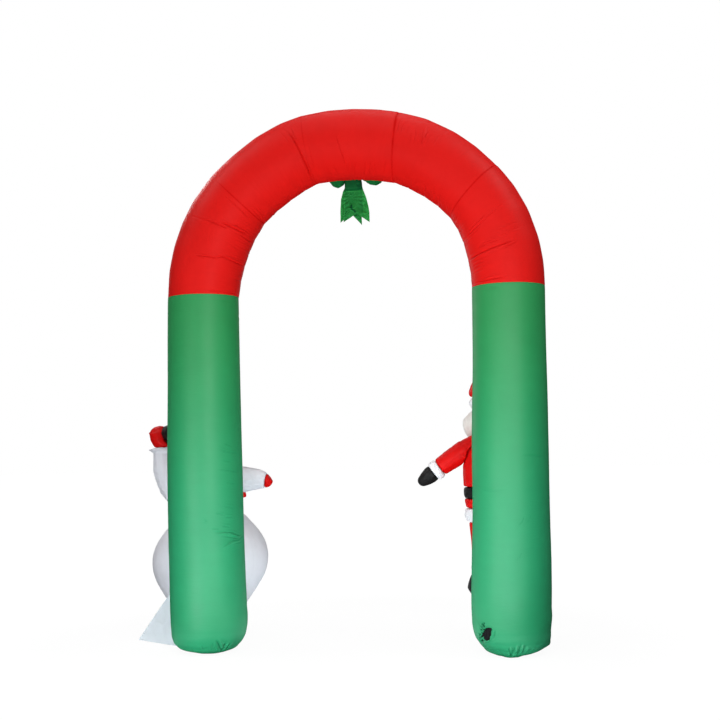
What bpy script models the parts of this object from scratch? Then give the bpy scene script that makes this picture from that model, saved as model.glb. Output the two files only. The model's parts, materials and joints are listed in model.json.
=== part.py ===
"""Inflatable walk-through arch: two air-filled legs, a bent top of five panels, an air inlet low
on one leg, a ribbon bow under the crown, and a snowman and a Father Christmas on the front.

Metres, +Z up. The arch stands on the plane z = 0. +Y is the front, where the two figures are,
and -Y is the back, where the inlet is. Every air-filled piece is the full shape that it takes
under pressure, and pieces that are sewn together lie GAP apart along their seam.
"""

from collections import namedtuple
from math import cos, pi, radians, sin

import bmesh
import bpy
from mathutils import Matrix, Vector

# ---------------------------------------------------------------- driving sizes
ARCH_X = 0.1208  # where the arch's own middle lies, so that the outer box is centred on x = 0
ARCH_Y = -0.2492  # and on y = 0
SPRING_Z = 1.570  # height of the seam between a leg and the first bent panel
GAP = 0.0003  # between two pieces that are sewn together
TUBE_SIDES = 24
BALL_SIDES = 16
LIMB_SIDES = 12
CLOTH = 0.0015  # thickness of a single sheet

Leg = namedtuple("Leg", "z centre_x radius")
LEFT_LEG = [
    Leg(0.0000, -0.6740, 0.0780),
    Leg(0.0100, -0.6800, 0.1120),
    Leg(0.0300, -0.6830, 0.1370),
    Leg(0.0600, -0.6790, 0.1560),
    Leg(0.1000, -0.6750, 0.1645),
    Leg(0.1600, -0.6740, 0.1690),
    Leg(0.3200, -0.6770, 0.1690),
    Leg(0.5200, -0.6820, 0.1680),
    Leg(0.8200, -0.6855, 0.1670),
    Leg(1.2000, -0.6860, 0.1625),
    Leg(1.4000, -0.6865, 0.1610),
    Leg(1.5700, -0.6860, 0.1590),
]
RIGHT_LEG = [
    Leg(0.0000, 0.6520, 0.0800),
    Leg(0.0100, 0.6590, 0.1150),
    Leg(0.0300, 0.6650, 0.1430),
    Leg(0.0600, 0.6610, 0.1590),
    Leg(0.1000, 0.6570, 0.1650),
    Leg(0.1600, 0.6580, 0.1690),
    Leg(0.3200, 0.6625, 0.1695),
    Leg(0.5200, 0.6670, 0.1665),
    Leg(0.8200, 0.6710, 0.1650),
    Leg(1.2000, 0.6785, 0.1600),
    Leg(1.4000, 0.6805, 0.1590),
    Leg(1.5700, 0.6825, 0.1580),
]
BASE_ROWS = 3  # the first rows of a leg are its sewn-on bottom cap

# The bend, by angle from the left spring line about the point midway between the two.
Bend = namedtuple("Bend", "angle_deg centre_radius tube_radius tilt_deg")
TOP_PANELS = {
    "arch_panel_1": [
        Bend(0.0, 0.6860, 0.1590, 0.0),
        Bend(12.0, 0.6825, 0.1635, 0.0),
        Bend(26.0, 0.6815, 0.1635, 0.5),
        Bend(40.3, 0.6815, 0.1595, 4.0),
    ],
    "arch_panel_2": [
        Bend(40.3, 0.6815, 0.1595, 4.0),
        Bend(51.0, 0.6745, 0.1585, 2.5),
        Bend(63.0, 0.6755, 0.1600, 4.5),
        Bend(74.2, 0.6790, 0.1555, 6.5),
    ],
    "arch_panel_3": [
        Bend(74.2, 0.6790, 0.1555, 6.5),
        Bend(85.0, 0.6700, 0.1560, 2.0),
        Bend(96.0, 0.6675, 0.1560, -5.0),
        Bend(108.0, 0.6745, 0.1550, -12.0),
    ],
    "arch_panel_4": [
        Bend(108.0, 0.6745, 0.1550, -12.0),
        Bend(118.0, 0.6800, 0.1565, -7.5),
        Bend(130.0, 0.6840, 0.1545, -7.5),
        Bend(142.0, 0.6900, 0.1525, -8.0),
    ],
    "arch_panel_5": [
        Bend(142.0, 0.6900, 0.1525, -8.0),
        Bend(152.0, 0.6910, 0.1555, -4.0),
        Bend(166.0, 0.6860, 0.1595, 0.0),
        Bend(180.0, 0.6825, 0.1580, 0.0),
    ],
}

# Air inlet, on the back of the right leg.
INLET_Z = 0.105
INLET_TURN = radians(39)  # from straight back, towards the walkway
INLET_COLLAR = 0.0350
INLET_ROLL = 0.0065

# Bow, sewn to the lower front of the crown panel.
BOW_Y = 0.165
Loop = namedtuple("Loop", "x z half_height half_depth")
BOW_LOOP_LEFT = [
    Loop(-0.0535, 2.1260, 0.0240, 0.0200),
    Loop(-0.0660, 2.1290, 0.0400, 0.0310),
    Loop(-0.0880, 2.1305, 0.0510, 0.0400),
    Loop(-0.1110, 2.1320, 0.0430, 0.0350),
    Loop(-0.1270, 2.1330, 0.0230, 0.0190),
]
BOW_LOOP_RIGHT = [
    Loop(0.0235, 2.1260, 0.0240, 0.0200),
    Loop(0.0450, 2.1300, 0.0390, 0.0310),
    Loop(0.0800, 2.1350, 0.0500, 0.0400),
    Loop(0.1040, 2.1360, 0.0420, 0.0350),
    Loop(0.1200, 2.1370, 0.0230, 0.0190),
]
KNOT_X, KNOT_Z = -0.0150, 2.1130
KNOT_WIDTH, KNOT_HEIGHT, KNOT_DEPTH = 0.0756, 0.0950, 0.0500
# A tail hangs from the knot. left and right are its edges at that height.
Tail = namedtuple("Tail", "z left right")
TAIL_1 = [
    Tail(2.0640, -0.0510, 0.0210),
    Tail(2.0300, -0.0680, 0.0200),
    Tail(1.9800, -0.0760, 0.0190),
    Tail(1.9640, -0.0775, 0.0190),
]
TAIL_1_TIPS = (1.9210, 1.9060)  # left, right
TAIL_2 = [
    Tail(2.0640, -0.0500, 0.0230),
    Tail(2.0300, -0.0590, 0.0400),
    Tail(1.9800, -0.0610, 0.0520),
    Tail(1.9560, -0.0610, 0.0550),
]
TAIL_2_TIPS = (1.9170, 1.9120)

# Snowman, before the left leg.
Turn = namedtuple("Turn", "z radius")
SNOW_X, SNOW_Y = -0.780, 0.400
SNOW_BODY = [
    Leg(0.000, -0.780, 0.095),
    Leg(0.012, -0.780, 0.112),
    Leg(0.050, -0.780, 0.135),
    Leg(0.110, -0.785, 0.156),
    Leg(0.170, -0.786, 0.191),
    Leg(0.230, -0.783, 0.229),
    Leg(0.290, -0.778, 0.259),
    Leg(0.350, -0.775, 0.269),
    Leg(0.410, -0.771, 0.261),
    Leg(0.470, -0.768, 0.233),
    Leg(0.530, -0.766, 0.187),
    Leg(0.575, -0.765, 0.141),
    Leg(0.602, -0.765, 0.092),
]
BRIM_X, BRIM_Y = -0.811, 0.375
SNOW_BRIM = [
    Turn(1.007, 0.152),
    Turn(0.996, 0.179),
    Turn(0.968, 0.191),
    Turn(0.940, 0.179),
    Turn(0.929, 0.152),
]
SNOW_BAND = [
    Turn(1.0450, 0.1150),
    Turn(1.0270, 0.1185),
    Turn(1.0076, 0.1170),
]
SNOW_CROWN = [
    Turn(1.1900, 0.0850),
    Turn(1.1830, 0.1100),
    Turn(1.1640, 0.1240),
    Turn(1.1100, 0.1200),
    Turn(1.0453, 0.1140),
]

Limb = namedtuple("Limb", "x y z radius")
SNOW_ARM_INNER = [
    Limb(-0.680, 0.350, 0.742, 0.0600),
    Limb(-0.590, 0.350, 0.740, 0.0600),
    Limb(-0.525, 0.350, 0.740, 0.0470),
    Limb(-0.489, 0.350, 0.734, 0.0365),
]
SNOW_MITTEN_INNER = [
    Limb(-0.4885, 0.350, 0.7338, 0.0340),
    Limb(-0.4740, 0.350, 0.7300, 0.0310),
    Limb(-0.4600, 0.350, 0.7240, 0.0210),
    Limb(-0.4545, 0.350, 0.7205, 0.0090),
]
SNOW_ARM_OUTER = [
    Limb(-0.885, 0.360, 0.622, 0.0590),
    Limb(-0.946, 0.363, 0.706, 0.0640),
    Limb(-0.978, 0.370, 0.800, 0.0650),
    Limb(-0.992, 0.380, 0.884, 0.0590),
]
SNOW_CUFF_OUTER = [
    Limb(-0.9921, 0.3801, 0.8844, 0.0720),
    Limb(-0.9940, 0.3820, 0.9000, 0.0600),
]
SNOW_MITTEN_OUTER = [
    Limb(-0.9942, 0.3821, 0.9003, 0.0520),
    Limb(-1.0130, 0.3830, 0.9300, 0.0560),
    Limb(-1.0250, 0.3830, 0.9650, 0.0510),
    Limb(-1.0310, 0.3830, 0.9900, 0.0340),
    Limb(-1.0330, 0.3830, 0.9990, 0.0150),
]
SNOW_SCARF_TAIL = [
    Limb(-0.716, 0.478, 0.805, 0.0300),
    Limb(-0.684, 0.484, 0.750, 0.0330),
    Limb(-0.661, 0.482, 0.695, 0.0350),
    Limb(-0.650, 0.478, 0.645, 0.0350),
]
SNOW_NOSE = [
    Limb(-0.795, 0.470, 0.885, 0.0230),
    Limb(-0.795, 0.520, 0.884, 0.0180),
    Limb(-0.796, 0.565, 0.880, 0.0110),
    Limb(-0.797, 0.592, 0.876, 0.0045),
]
# The flap: sewn up the outer side of the left leg, and pegged out at its free corner.
FLAP_CORNER = (-1.085, 0.245)
FLAP_RUN = (0.836, -0.549)  # towards the leg, along the ground
FLAP_REACH = 0.335
FLAP_RISE = 0.990  # height gained for each metre of run
FLAP_BILLOW = 0.006

# Father Christmas, before the right leg.
XMAS_X, XMAS_Y = 0.635, 0.305
Girth = namedtuple("Girth", "z half_width half_depth")
XMAS_COAT = [
    Girth(0.6936, 0.1835, 0.1330),
    Girth(0.7500, 0.1862, 0.1370),
    Girth(0.8050, 0.1835, 0.1350),
    Girth(0.8600, 0.1680, 0.1260),
    Girth(0.9050, 0.1350, 0.1080),
    Girth(0.9320, 0.0980, 0.0860),
    Girth(0.9450, 0.0600, 0.0560),
]
XMAS_BELT = [
    Girth(0.6430, 0.1818, 0.1330),
    Girth(0.6680, 0.1840, 0.1350),
    Girth(0.6933, 0.1832, 0.1330),
]
XMAS_SKIRT = [
    Girth(0.5978, 0.1738, 0.1300),
    Girth(0.6200, 0.1790, 0.1330),
    Girth(0.6427, 0.1815, 0.1328),
]
XMAS_HEM = [
    Girth(0.5365, 0.1640, 0.1230),
    Girth(0.5450, 0.1760, 0.1340),
    Girth(0.5650, 0.1830, 0.1400),
    Girth(0.5860, 0.1800, 0.1370),
    Girth(0.5975, 0.1735, 0.1300),
]
XMAS_HAT = [
    Limb(0.635, 0.325, 1.095, 0.1400),
    Limb(0.637, 0.325, 1.160, 0.1300),
    Limb(0.648, 0.327, 1.220, 0.1080),
    Limb(0.673, 0.330, 1.270, 0.0790),
    Limb(0.712, 0.333, 1.298, 0.0540),
    Limb(0.748, 0.335, 1.292, 0.0390),
    Limb(0.769, 0.337, 1.268, 0.0290),
]
XMAS_SLEEVE_INNER = [
    Limb(0.5450, 0.300, 0.9000, 0.0490),
    Limb(0.4550, 0.300, 0.8570, 0.0495),
    Limb(0.4000, 0.300, 0.8220, 0.0455),
    Limb(0.3445, 0.300, 0.7842, 0.0405),
]
XMAS_CUFF_INNER = [
    Limb(0.3442, 0.300, 0.7840, 0.0420),
    Limb(0.3295, 0.300, 0.7730, 0.0460),
    Limb(0.3152, 0.300, 0.7622, 0.0425),
]
XMAS_MITTEN_INNER = [
    Limb(0.3149, 0.300, 0.7620, 0.0375),
    Limb(0.2980, 0.300, 0.7490, 0.0380),
    Limb(0.2740, 0.300, 0.7310, 0.0310),
    Limb(0.2540, 0.300, 0.7160, 0.0215),
    Limb(0.2470, 0.300, 0.7108, 0.0110),
]
XMAS_SLEEVE_OUTER = [
    Limb(0.7300, 0.3100, 0.8850, 0.0520),
    Limb(0.7800, 0.3300, 0.8280, 0.0520),
    Limb(0.7940, 0.3750, 0.7680, 0.0470),
    Limb(0.7680, 0.4300, 0.7350, 0.0420),
]
XMAS_CUFF_OUTER = [
    Limb(0.7678, 0.4304, 0.7348, 0.0435),
    Limb(0.7555, 0.4510, 0.7275, 0.0465),
    Limb(0.7400, 0.4700, 0.7210, 0.0430),
]
XMAS_MITTEN_OUTER = [
    Limb(0.7396, 0.4704, 0.7208, 0.0380),
    Limb(0.7180, 0.4830, 0.7140, 0.0370),
    Limb(0.6930, 0.4870, 0.7080, 0.0300),
    Limb(0.6720, 0.4860, 0.7040, 0.0170),
]
STRIDE = 0.0850  # a trouser leg's distance from the middle of the figure
TROUSER = [
    Limb(-0.090, 0.305, 0.5362, 0.0715),
    Limb(-0.087, 0.305, 0.4500, 0.0690),
    Limb(-0.085, 0.305, 0.3534, 0.0660),
]
BOOT_CUFF = [
    Limb(-0.085, 0.305, 0.3530, 0.0680),
    Limb(-0.085, 0.305, 0.3240, 0.0735),
    Limb(-0.085, 0.305, 0.2946, 0.0680),
]
Boot = namedtuple("Boot", "z x y half_width half_length")
BOOT = [
    Boot(0.2030, -0.100, 0.352, 0.0600, 0.0980),
    Boot(0.2120, -0.100, 0.352, 0.0690, 0.1070),
    Boot(0.2350, -0.099, 0.347, 0.0735, 0.1060),
    Boot(0.2640, -0.094, 0.326, 0.0690, 0.0860),
    Boot(0.2943, -0.086, 0.307, 0.0620, 0.0660),
]

# ---------------------------------------------------------------- finishes
Finish = namedtuple("Finish", "red green blue roughness")
FINISHES = {
    "polyester_green": Finish(0.050, 0.330, 0.120, 0.55),
    "polyester_red": Finish(0.700, 0.015, 0.012, 0.55),
    "polyester_white": Finish(0.720, 0.720, 0.760, 0.60),
    "polyester_black": Finish(0.012, 0.013, 0.015, 0.60),
    "polyester_yellow": Finish(0.750, 0.420, 0.040, 0.55),
    "polyester_orange": Finish(0.800, 0.180, 0.020, 0.55),
    "polyester_skin": Finish(0.800, 0.480, 0.340, 0.60),
    "bow_green": Finish(0.020, 0.180, 0.055, 0.55),
    "mesh_black": Finish(0.008, 0.008, 0.008, 0.70),
}


def finish(name):
    made = bpy.data.materials.get(name)
    if made is None:
        row = FINISHES[name]
        made = bpy.data.materials.new(name)
        made.use_nodes = True
        shader = made.node_tree.nodes["Principled BSDF"]
        shader.inputs["Base Color"].default_value = (row.red, row.green, row.blue, 1)
        shader.inputs["Roughness"].default_value = row.roughness
        shader.inputs["Metallic"].default_value = 0.0
    return made


# ---------------------------------------------------------------- start clean
for old in list(bpy.data.objects):
    bpy.data.objects.remove(old, do_unlink=True)

PARTS = bpy.data.collections.new("inflatable_arch")
CUTTERS = bpy.data.collections.new("cutters")
bpy.context.scene.collection.children.link(PARTS)
bpy.context.scene.collection.children.link(CUTTERS)
ARCH = bpy.data.objects.new("arch_middle", None)
ARCH.location = (ARCH_X, ARCH_Y, 0)
PARTS.objects.link(ARCH)


def place(obj, look):
    for owner in list(obj.users_collection):
        owner.objects.unlink(obj)
    PARTS.objects.link(obj)
    obj.parent = ARCH
    obj.data.materials.clear()
    obj.data.materials.append(finish(look))
    return obj


# ---------------------------------------------------------------- shapes
def loft(name, rings, look):
    """One closed skin through rings of equal count, with a flat cap at each end."""
    middle = sum(rings[0], Vector()) / len(rings[0])
    form = bmesh.new()
    rows = [[form.verts.new(point - middle) for point in ring] for ring in rings]
    count = len(rows[0])
    for low, high in zip(rows, rows[1:]):
        for i in range(count):
            j = (i + 1) % count
            form.faces.new((low[i], low[j], high[j], high[i]))
    form.faces.new(list(reversed(rows[0])))
    form.faces.new(rows[-1])
    bmesh.ops.recalc_face_normals(form, faces=form.faces)
    mesh = bpy.data.meshes.new(name)
    form.to_mesh(mesh)
    form.free()
    mesh.shade_smooth()
    mesh.set_sharp_from_angle(angle=radians(50))
    obj = bpy.data.objects.new(name, mesh)
    bpy.context.scene.collection.objects.link(obj)
    obj.location = middle
    return place(obj, look)


def ellipse(centre, across, up, half_across, half_up, sides):
    return [
        centre
        + across * (half_across * cos(2 * pi * i / sides))
        + up * (half_up * sin(2 * pi * i / sides))
        for i in range(sides)
    ]


def leg(name, rows, look, y=0.0, sides=TUBE_SIDES):
    """An upright stuffed form of round sections, whose middle may wander to the side."""
    rings = [
        ellipse(
            Vector((row.centre_x, y, row.z)),
            Vector((1, 0, 0)),
            Vector((0, 1, 0)),
            row.radius,
            row.radius,
            sides,
        )
        for row in rows
    ]
    return loft(name, rings, look)


def bend(name, rows, look):
    """A panel of the bent top. Its end rings lean GAP apart from its neighbours'."""
    slack = 0.5 * GAP / (rows[0].centre_radius - rows[0].tube_radius)
    rings = []
    for i, row in enumerate(rows):
        angle = radians(row.angle_deg) + slack * ((i == 0) - (i == len(rows) - 1))
        lean = angle + radians(row.tilt_deg)
        out = Vector((-cos(lean), 0, sin(lean)))
        centre = Vector((-cos(angle), 0, sin(angle))) * row.centre_radius
        centre.z += SPRING_Z
        rings.append(
            ellipse(
                centre,
                out,
                Vector((0, 1, 0)),
                row.tube_radius,
                row.tube_radius,
                TUBE_SIDES,
            )
        )
    return loft(name, rings, look)


def chain(pieces, sides=LIMB_SIDES, flat=1.0):
    """Stuffed pieces of round section, one after another along a path, such as a sleeve, its
    cuff and its mitten. Two that meet share the plane of their seam. flat squeezes a piece
    front to back."""
    path = []
    for piece, (name, rows, look) in enumerate(pieces):
        for i, row in enumerate(rows):
            if not (piece and i == 0):
                path.append(Vector((row.x, row.y, row.z)))
    made = []
    front = Vector((0, 1, 0))
    at = 0
    for piece, (name, rows, look) in enumerate(pieces):
        rings = []
        for i, row in enumerate(rows):
            along = path[min(at + 1, len(path) - 1)] - path[max(at - 1, 0)]
            along.normalize()
            if at == 0 and abs(along.y) > 0.8:
                front = Vector((0, 0, 1))
            front = (front - along * front.dot(along)).normalized()
            side = along.cross(front)
            centre = path[at]
            if piece and i == 0:
                centre = centre + along * GAP
            rings.append(
                ellipse(centre, side, front, row.radius, row.radius * flat, sides)
            )
            if i < len(rows) - 1:
                at += 1
        made.append(loft(name, rings, look))
    return made


def limb(name, rows, look, sides=LIMB_SIDES, flat=1.0):
    return chain([(name, rows, look)], sides, flat)[0]


def girth(name, rows, look, x=XMAS_X, y=XMAS_Y):
    rings = [
        ellipse(
            Vector((x, y, row.z)),
            Vector((1, 0, 0)),
            Vector((0, 1, 0)),
            row.half_width,
            row.half_depth,
            BALL_SIDES,
        )
        for row in rows
    ]
    return loft(name, rings, look)


def turned(name, rows, look, x, y, sides=BALL_SIDES):
    """A turned solid: its profile, from the top of the axis to the bottom, under a Screw."""
    form = bmesh.new()
    profile = [(0.0, rows[0].z)] + [(row.radius, row.z) for row in rows]
    profile.append((0.0, rows[-1].z))
    verts = [form.verts.new((r, 0, z - rows[-1].z)) for r, z in profile]
    for a, b in zip(verts, verts[1:]):
        form.edges.new((a, b))
    mesh = bpy.data.meshes.new(name)
    form.to_mesh(mesh)
    form.free()
    obj = bpy.data.objects.new(name, mesh)
    bpy.context.scene.collection.objects.link(obj)
    obj.location = (x, y, rows[-1].z)
    screw = obj.modifiers.new("turn", "SCREW")
    screw.steps = screw.render_steps = sides
    screw.use_merge_vertices = True
    screw.merge_threshold = 0.0001
    screw.use_smooth_shade = True
    return place(obj, look)


def ball(name, centre, half, look, sides=BALL_SIDES, rings=9, turn=(0, 0, 0)):
    bpy.ops.mesh.primitive_uv_sphere_add(
        segments=sides, ring_count=rings, radius=1, location=centre, rotation=turn
    )
    obj = bpy.context.object
    obj.name = name
    obj.data.name = name
    obj.data.transform(Matrix.Diagonal((*half, 1)))
    obj.data.shade_smooth()
    return place(obj, look)


def ring(name, centre, big, small, look, turn=(0, 0, 0), sides=20, around=6):
    bpy.ops.mesh.primitive_torus_add(
        major_segments=sides,
        minor_segments=around,
        major_radius=big,
        minor_radius=small,
        location=centre,
        rotation=turn,
    )
    obj = bpy.context.object
    obj.name = name
    obj.data.name = name
    obj.data.shade_smooth()
    return place(obj, look)


def box(name, centre, size, look, bevel):
    bpy.ops.mesh.primitive_cube_add(size=1, location=centre)
    obj = bpy.context.object
    obj.name = name
    obj.data.name = name
    obj.data.transform(Matrix.Diagonal((*size, 1)))
    soft = obj.modifiers.new("soft_edges", "BEVEL")
    soft.width = bevel
    soft.segments = 2
    return place(obj, look)


def sheet(name, rows, look):
    """A strip of cloth: rows of points, top to bottom, given its thickness by Solidify."""
    middle = sum(rows[0], Vector()) / len(rows[0])
    form = bmesh.new()
    grid = [[form.verts.new(point - middle) for point in row] for row in rows]
    for high, low in zip(grid, grid[1:]):
        for i in range(len(high) - 1):
            form.faces.new((high[i], low[i], low[i + 1], high[i + 1]))
    mesh = bpy.data.meshes.new(name)
    form.to_mesh(mesh)
    form.free()
    obj = bpy.data.objects.new(name, mesh)
    bpy.context.scene.collection.objects.link(obj)
    obj.location = middle
    cloth = obj.modifiers.new("cloth", "SOLIDIFY")
    cloth.thickness = CLOTH
    cloth.offset = 0
    return place(obj, look)


def cut(obj, *others):
    """Trims obj to the faces of the pieces that it is sewn against, leaving GAP."""
    bpy.context.view_layer.update()
    for other in others:
        cutter = bpy.data.objects.get("cut_" + other.name)
        if cutter is None:
            cutter = other.copy()
            cutter.name = "cut_" + other.name
            for owner in list(cutter.users_collection):
                owner.objects.unlink(cutter)
            CUTTERS.objects.link(cutter)
            cutter.hide_render = True
            cutter.display_type = "WIRE"
            grow = cutter.modifiers.new("seam_gap", "DISPLACE")
            grow.direction = "NORMAL"
            grow.mid_level = 0
            grow.strength = 2 * GAP
        trim = obj.modifiers.new("against_" + other.name, "BOOLEAN")
        trim.operation = "DIFFERENCE"
        trim.solver = "EXACT"
        trim.object = cutter
    return obj


# ---------------------------------------------------------------- the tube
def leg_and_base(side, rows):
    base = leg("base_" + side, rows[:BASE_ROWS], "polyester_green")
    seam = rows[BASE_ROWS - 1]
    upper = [Leg(seam.z + GAP, seam.centre_x, seam.radius)] + rows[BASE_ROWS:-1]
    last = rows[-1]
    upper.append(Leg(last.z, last.centre_x, last.radius))
    return base, leg("leg_" + side, upper, "polyester_green")


base_left, leg_left = leg_and_base("left", LEFT_LEG)
base_right, leg_right = leg_and_base("right", RIGHT_LEG)
panels = {
    name: bend(name, rows, "polyester_red") for name, rows in TOP_PANELS.items()
}

# ---------------------------------------------------------------- the air inlet
inlet_out = Vector((-sin(INLET_TURN), -cos(INLET_TURN), 0))
inlet_at = Vector((0.657, 0, INLET_Z)) + inlet_out * 0.1655
inlet_turn = inlet_out.to_track_quat("Z", "Y").to_euler()
inlet_mesh = ball(
    "inlet_mesh",
    inlet_at,
    (INLET_COLLAR - INLET_ROLL - 2 * GAP, INLET_COLLAR - INLET_ROLL - 2 * GAP, 0.006),
    "mesh_black",
    sides=16,
    rings=8,
    turn=inlet_turn,
)
inlet_collar = ring(
    "inlet_collar",
    inlet_at,
    INLET_COLLAR,
    INLET_ROLL,
    "polyester_green",
    turn=inlet_turn,
    sides=16,
)
cut(inlet_mesh, leg_right)
cut(inlet_collar, leg_right)

# ---------------------------------------------------------------- the bow
crown_panel = panels["arch_panel_3"]
bow_knot = box(
    "bow_knot",
    (KNOT_X, BOW_Y, KNOT_Z),
    (KNOT_WIDTH, KNOT_DEPTH, KNOT_HEIGHT),
    "bow_green",
    0.010,
)
cut(bow_knot, crown_panel)
for name, rows in (
    ("bow_loop_left", BOW_LOOP_LEFT),
    ("bow_loop_right", BOW_LOOP_RIGHT),
):
    rings = [
        ellipse(
            Vector((row.x, BOW_Y, row.z)),
            Vector((0, 1, 0)),
            Vector((0, 0, 1)),
            row.half_depth,
            row.half_height,
            LIMB_SIDES,
        )
        for row in rows
    ]
    cut(loft(name, rings, "bow_green"), crown_panel, bow_knot)


def tail(name, rows, tips, y, sway):
    """A ribbon tail with a swallow-tailed end. sway carries it front to back as it falls."""
    across = 6
    top = rows[0].z
    grid = []
    for row in rows:
        line = []
        for i in range(across + 1):
            t = i / across
            x = row.left + (row.right - row.left) * t
            fall = top - row.z
            line.append(Vector((x, y + sway * fall + 0.002 * sin(2 * pi * t), row.z)))
        grid.append(line)
    last = rows[-1]
    line = []
    for i in range(across + 1):
        t = i / across
        deep = tips[0] if t < 0.5 else tips[1]
        share = abs(2 * t - 1)
        x = last.left + (last.right - last.left) * t
        z = last.z - 0.002 - (last.z - 0.002 - deep) * share
        line.append(
            Vector((x, y + sway * (top - z) + 0.002 * sin(2 * pi * t), z))
        )
    grid.append(line)
    return sheet(name, grid, "bow_green")


bow_tail_1 = tail("bow_tail_1", TAIL_1, TAIL_1_TIPS, BOW_Y + 0.006, 0.06)
bow_tail_2 = tail("bow_tail_2", TAIL_2, TAIL_2_TIPS, BOW_Y - 0.006, -0.06)

# ---------------------------------------------------------------- the snowman
white, red, black = "polyester_white", "polyester_red", "polyester_black"
snow_body = leg("snow_body", SNOW_BODY, white, SNOW_Y, sides=20)
cut(snow_body, leg_left, base_left)
snow_torso = ball(
    "snow_torso", (SNOW_X, 0.345, 0.705), (0.172, 0.165, 0.165), white, rings=12
)
cut(snow_torso, snow_body, leg_left)
snow_head = ball(
    "snow_head", (-0.790, 0.352, 0.885), (0.136, 0.138, 0.120), white, rings=12
)
cut(snow_head, snow_torso)
snow_scarf = ring("snow_scarf", (-0.790, 0.349, 0.806), 0.118, 0.034, red)
cut(snow_scarf, snow_torso, snow_head)
snow_scarf_tail = limb(
    "snow_scarf_tail", SNOW_SCARF_TAIL, red, sides=10, flat=0.33
)
cut(snow_scarf_tail, snow_torso, snow_scarf)
snow_nose = limb("snow_nose", SNOW_NOSE, "polyester_orange", sides=10)
cut(snow_nose, snow_head)
snow_hat_brim = turned("snow_hat_brim", SNOW_BRIM, black, BRIM_X, BRIM_Y)
cut(snow_hat_brim, snow_head)
snow_hat_band = turned("snow_hat_band", SNOW_BAND, red, BRIM_X, BRIM_Y)
snow_hat_crown = turned("snow_hat_crown", SNOW_CROWN, black, BRIM_X, BRIM_Y)
snow_arm_inner, snow_mitten_inner = chain(
    [
        ("snow_arm_inner", SNOW_ARM_INNER, white),
        ("snow_mitten_inner", SNOW_MITTEN_INNER, red),
    ]
)
cut(snow_arm_inner, snow_torso, snow_scarf)
snow_arm_outer, snow_cuff_outer, snow_mitten_outer = chain(
    [
        ("snow_arm_outer", SNOW_ARM_OUTER, white),
        ("snow_cuff_outer", SNOW_CUFF_OUTER, white),
        ("snow_mitten_outer", SNOW_MITTEN_OUTER, red),
    ]
)
cut(snow_arm_outer, snow_torso, snow_scarf, snow_head)
cut(snow_cuff_outer, snow_head)
cut(snow_mitten_outer, snow_hat_brim, snow_arm_outer)

run = Vector((*FLAP_RUN, 0)).normalized()
aside = Vector((0, 0, 1)).cross(run)
corner = Vector((*FLAP_CORNER, 0.001))
flap_rows = []
FLAP_UP = 6
FLAP_ALONG = 8
for i in range(FLAP_UP, -1, -1):
    line = []
    for j in range(FLAP_ALONG + 1):
        far = 0.004 + (FLAP_REACH - 0.004) * j / FLAP_ALONG
        up = far * FLAP_RISE * i / FLAP_UP
        bulge = FLAP_BILLOW * sin(pi * j / FLAP_ALONG) * sin(pi * i / FLAP_UP)
        line.append(corner + run * far + aside * bulge + Vector((0, 0, up)))
    flap_rows.append(line)
snow_flap = sheet("snow_flap", flap_rows, white)
cut(snow_flap, leg_left, base_left)

# ---------------------------------------------------------------- Father Christmas
xmas_coat = cut(girth("xmas_coat", XMAS_COAT, red), leg_right)
xmas_belt = cut(girth("xmas_belt", XMAS_BELT, black), leg_right)
xmas_skirt = cut(girth("xmas_skirt", XMAS_SKIRT, red), leg_right)
xmas_hem = cut(girth("xmas_hem", XMAS_HEM, white), leg_right)
xmas_buckle = box(
    "xmas_buckle",
    (XMAS_X, XMAS_Y + 0.139, 0.668),
    (0.072, 0.016, 0.046),
    "polyester_yellow",
    0.004,
)
cut(xmas_buckle, xmas_belt)
xmas_head = ball(
    "xmas_head", (XMAS_X, 0.325, 1.030), (0.118, 0.118, 0.125), "polyester_skin"
)
cut(xmas_head, xmas_coat)
xmas_beard = ball(
    "xmas_beard", (XMAS_X, 0.375, 0.986), (0.184, 0.090, 0.087), white
)
cut(xmas_beard, xmas_head, xmas_coat)
# The beard is open over the face.
face_space = ball(
    "face_space", (XMAS_X, 0.480, 1.060), (0.088, 0.070, 0.062), white, rings=8
)
PARTS.objects.unlink(face_space)
CUTTERS.objects.link(face_space)
face_space.hide_render = True
face_space.display_type = "WIRE"
opened = xmas_beard.modifiers.new("face", "BOOLEAN")
opened.operation = "DIFFERENCE"
opened.solver = "EXACT"
opened.object = face_space
xmas_nose = ball(
    "xmas_nose",
    (XMAS_X, 0.447, 1.022),
    (0.021, 0.021, 0.020),
    "polyester_skin",
    sides=12,
    rings=8,
)
cut(xmas_nose, xmas_head, xmas_beard)
xmas_hat_trim = ring(
    "xmas_hat_trim", (XMAS_X, 0.325, 1.078), 0.121, 0.031, white
)
cut(xmas_hat_trim, xmas_head, xmas_beard)
xmas_hat = cut(limb("xmas_hat", XMAS_HAT, red, sides=16), xmas_head, xmas_hat_trim)
xmas_pompom = ball(
    "xmas_pompom", (0.783, 0.340, 1.238), (0.036, 0.036, 0.036), white, sides=12
)
cut(xmas_pompom, xmas_hat)
xmas_sleeve_inner, xmas_cuff_inner, xmas_mitten_inner = chain(
    [
        ("xmas_sleeve_inner", XMAS_SLEEVE_INNER, red),
        ("xmas_cuff_inner", XMAS_CUFF_INNER, white),
        ("xmas_mitten_inner", XMAS_MITTEN_INNER, black),
    ]
)
cut(xmas_sleeve_inner, xmas_coat, xmas_beard)
xmas_sleeve_outer, xmas_cuff_outer, xmas_mitten_outer = chain(
    [
        ("xmas_sleeve_outer", XMAS_SLEEVE_OUTER, red),
        ("xmas_cuff_outer", XMAS_CUFF_OUTER, white),
        ("xmas_mitten_outer", XMAS_MITTEN_OUTER, black),
    ]
)
cut(xmas_sleeve_outer, xmas_coat, xmas_beard)
cut(xmas_cuff_outer, xmas_coat)
cut(xmas_mitten_outer, xmas_coat, xmas_belt)
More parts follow.
